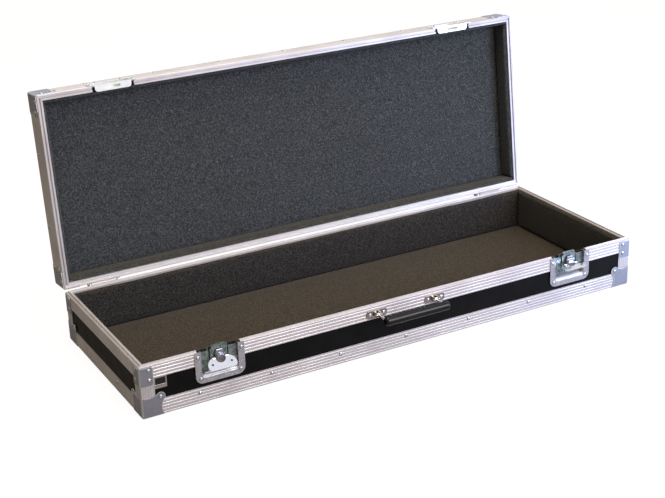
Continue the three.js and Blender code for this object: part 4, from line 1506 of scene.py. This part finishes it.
@dataclass
class Badge:
    """The small bare plate at the front left: a pressed rectangle with a raised rim.

    Each step of the dark field gives how far it lies inside the rim and over the plate's sunk middle.
    """

    wardrobe: Wardrobe
    case: Place
    middle: tuple[float, float, float] = (-571.4, -216.2, 69.6)
    size: Pair = (27.5, 26.0)
    corner: float = 2.0
    corner_least: float = 0.4
    rim: float = 2.6
    rim_edge: float = 0.3
    foot: float = 6.0
    height: float = 0.7
    edge: float = 0.25
    sunk: float = 0.35
    field_steps: tuple[Pair, ...] = ((0.15, -0.2), (0.15, 0.05), (0.4, 0.15))
    corner_steps: int = 6

    def ring(self, inset: float, level: float, foot: float = 0.0) -> Array:
        """One loop of a rounded rectangle, inset from the plate's edge.

        Args:
            inset: Distance inside the outer edge.
            level: Height over the board.
            foot: How much further the lower side is inset.

        Returns:
            The loop's points, counter-clockwise.
        """
        half = np.array(self.size) / 2 - inset
        radius = max(self.corner - inset, self.corner_least)
        quarter = np.linspace(0, math.pi / 2, self.corner_steps)
        parts = []
        for k, (sx, sy) in enumerate(((1, 1), (-1, 1), (-1, -1), (1, -1))):
            turn = quarter + k * math.pi / 2
            x = sx * (half[0] - radius) + radius * np.cos(turn)
            y = sy * (half[1] - radius) + radius * np.sin(turn) + (foot if sy < 0 else 0.0)
            parts.append(np.stack([x, y, np.full(len(turn), level)], axis=-1))
        return np.concatenate(parts)

    def build(self) -> None:
        """Makes the bright frame with its sunk middle, and the plain dark field in it."""
        place = self.case.moved(self.middle, facing((0, -1, 0)))
        low = self.height - self.sunk
        frame = (
            self.ring(0.0, 0.0),
            self.ring(0.0, self.height - self.edge),
            self.ring(self.edge, self.height),
            self.ring(self.rim - self.rim_edge, self.height, self.foot),
            self.ring(self.rim, low, self.foot),
        )
        dark = tuple(self.ring(self.rim + inset, low + rise, self.foot) for inset, rise in self.field_steps)
        for name, loops, finish in (
            ("bare_plate", frame, self.wardrobe.plate),
            ("bare_plate_field", dark, self.wardrobe.field),
        ):
            rings = np.stack(loops)
            shape = lofted(rings, rings[[0, -1]].mean(axis=1)).at(place)
            piece = make_piece(name, shape, "base", finish, smooth=False)
        LOG.info("plate: a bare plate and its field")


# ---------------------------------------------------------------------------------------------
# The studio
# ---------------------------------------------------------------------------------------------


@dataclass
class Studio:
    """Camera, lamps, world and floor.

    The camera's place is in millimetres of the case, and the floor and the lamps are in metres.
    """

    case: Place
    location: tuple[float, float, float] = (-1435.9, -2576.9, 1366.2)
    yaw: float = 28.1432
    pitch: float = 22.3648
    roll: float = -2.0111
    lens: float = 76.17
    aim: tuple[float, float, float] = (0.0, 0.0, 0.15)
    diffuse_light: Pair = (0.2, 0.7)
    mirrored_light: Pair = (0.4, 1.0)
    paler_over: Pair = (-0.9, 0.6)
    top_over: Pair = (0.3, 0.8)
    left_tint: str = "#f4e6d0"
    right_tint: str = "#eef3ff"
    top_tint: str = "#fff0ca"
    floor_half: float = 40.0
    floor_paint: str = "#a29e9c"
    floor_share: float = 0.62
    floor_glow: float = 1.5
    floor_reach: float = 0.75
    floor_mirrored: Pair = (0.22, 0.95)
    floor_tint: str = "#dce7ff"

    def camera(self) -> None:
        """Puts the camera where the view of the photograph is taken from."""
        yaw, pitch, roll = (math.radians(v) for v in (self.yaw, self.pitch, self.roll))
        level = math.cos(pitch)
        forward = np.array([math.sin(yaw) * level, math.cos(yaw) * level, -math.sin(pitch)])
        right = np.array([math.cos(yaw), -math.sin(yaw), 0.0])
        up = np.cross(right, forward)
        x_axis = right * math.cos(roll) + up * math.sin(roll)
        y_axis = up * math.cos(roll) - right * math.sin(roll)
        data = bpy.data.cameras.new("camera")
        data.sensor_width, data.lens = 36.0, self.lens
        camera = bpy.data.objects.new("camera", data)
        turn = Matrix([Vector(column) for column in (x_axis, y_axis, -forward)]).transposed()
        spot = Vector(self.case.put(np.array(self.location)) * METRES)
        camera.matrix_world = Matrix.Translation(spot) @ turn.to_4x4()
        bpy.context.scene.collection.objects.link(camera)
        bpy.context.scene.camera = camera

    def lamp(self, name: str, spot: Sequence[float], size: float, power: float, colour: str) -> None:
        """Adds one soft square lamp that looks at the case.

        Args:
            name: The lamp's name.
            spot: Where it stands, in metres of the case.
            size: Its side in metres.
            power: Its power in watts.
            colour: Its hex colour.
        """
        data = bpy.data.lights.new(name, "AREA")
        data.shape, data.size, data.energy, data.color = "SQUARE", size, power, linear(colour)[:3]
        lamp = bpy.data.objects.new(name, data)
        turn = (Vector(self.aim) - Vector(spot)).to_track_quat("-Z", "Y").to_matrix()
        lamp.matrix_world = Matrix.Translation(Vector(spot)) @ turn.to_4x4()
        bpy.context.scene.collection.objects.link(lamp)

    def world(self) -> None:
        """A white surround for the camera, and for the rest a soft one that is paler on the right."""
        world = bpy.data.worlds.new("surround")
        add = emptied(world)
        ray = add("LightPath").outputs
        way = add("SeparateXYZ", [add("TexCoord").outputs["Generated"]]).outputs
        soft, mirrored = (
            add("MapRange", (way["X"], *self.paler_over, *light), interpolation_type="SMOOTHSTEP")
            for light in (self.diffuse_light, self.mirrored_light)
        )
        side = add("ValToRGB", [mirrored], ((0.4, self.left_tint), (1.0, self.right_tint)))
        over = add("MapRange", (way["Z"], *self.top_over))
        tint = add("Mix", {"Factor": over, "A": side, "B": self.top_tint}, data_type="RGBA")
        spread, reflected, white = (
            add("Background", {"Color": colour, "Strength": strength})
            for colour, strength in ((tint, soft), (side, mirrored), ("#ffffff", 1.0))
        )
        unseen = add("MixShader", (ray["Is Glossy Ray"], spread, reflected))
        add("OutputWorld", {"Surface": add("MixShader", (ray["Is Camera Ray"], unseen, white))})
        bpy.context.scene.world = world

    def floor(self) -> None:
        """A pale floor that shows white and keeps the case's shadow."""
        low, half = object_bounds()[0].z, self.floor_half
        corners = [(-half, -half, low), (half, -half, low), (half, half, low), (-half, half, low)]
        mesh = bpy.data.meshes.new("floor")
        mesh.from_pydata(corners, [], [(0, 1, 2, 3)])
        floor = bpy.data.objects.new("floor", mesh)
        bpy.context.scene.collection.objects.link(floor)
        floor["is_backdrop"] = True
        material = bpy.data.materials.new("pale_floor")
        add = emptied(material)
        ray = add("LightPath").outputs
        mirrored = ray["Is Glossy Ray"]
        across = add("SeparateXYZ", [add("TexCoord").outputs["Object"]]).outputs["X"]
        span = (across, -self.floor_reach, self.floor_reach)
        tint = add("ValToRGB", [add("MapRange", span)], ((0.0, self.left_tint), (1.0, self.floor_tint)))
        dim = add("MapRange", (*span, *self.floor_mirrored))
        colour = add("Mix", {"Factor": mirrored, "A": "#ffffff", "B": tint}, data_type="RGBA")
        strength = add("Mix", {"Factor": mirrored, "A": self.floor_glow, "B": dim})
        paint = add("BsdfDiffuse", {"Color": self.floor_paint})
        glow = add("Emission", {"Color": colour, "Strength": strength})
        seen = add("Math", (ray["Is Camera Ray"], mirrored), operation="MAXIMUM")
        share = add("Math", (seen, self.floor_share), operation="MULTIPLY")
        add("OutputMaterial", {"Surface": add("MixShader", (share, paint, glow))})
        mesh.materials.append(material)

    def build(self) -> None:
        """Sets up the whole studio."""
        self.camera()
        self.world()
        self.floor()
        self.lamp("key_right", (1.15, -0.9, 0.26), size=0.5, power=8.5, colour="#b9d2ff")
        self.lamp("fill_front", (1.2, -3.2, 2.0), size=2.4, power=90.0, colour="#faf5f0")
        self.lamp("top", (0.0, 0.0, 3.2), size=2.2, power=62.0, colour="#fff2d8")
        bpy.context.scene.view_settings.view_transform = "Standard"
        LOG.info("studio: camera, world, floor and lamps")


def main() -> None:
    """Builds the whole scene in order."""
    logging.basicConfig(level=logging.INFO, format="%(message)s")
    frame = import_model()
    case = case_place()
    lid = lid_place(case)
    wardrobe = Wardrobe(case)
    Studio(case).build()
    Shell(wardrobe, frame["nodes"]).build()
    Rivets(wardrobe, case, lid).build()
    base_floor = case.moved((0.0, 0.0, CASE.base_floor))
    Lining(
        wardrobe, base_floor, "base", depth=100.0, pocket_from=42.0, pocket_depth=5.3, leg_from=90.0
    ).build()
    lid_floor = lid.moved((0.0, 0.0, CASE.lid_top - CASE.lid_floor), np.diag([1.0, -1.0, -1.0]))
    Lining(
        wardrobe, lid_floor, "lid", depth=46.7, pocket_from=22.6, pocket_depth=3.5, leg_from=36.9
    ).build()
    Handle(wardrobe, case).build()
    LatchTrim(wardrobe, case).build()
    Badge(wardrobe, case).build()


if __name__ == "__main__":
    main()
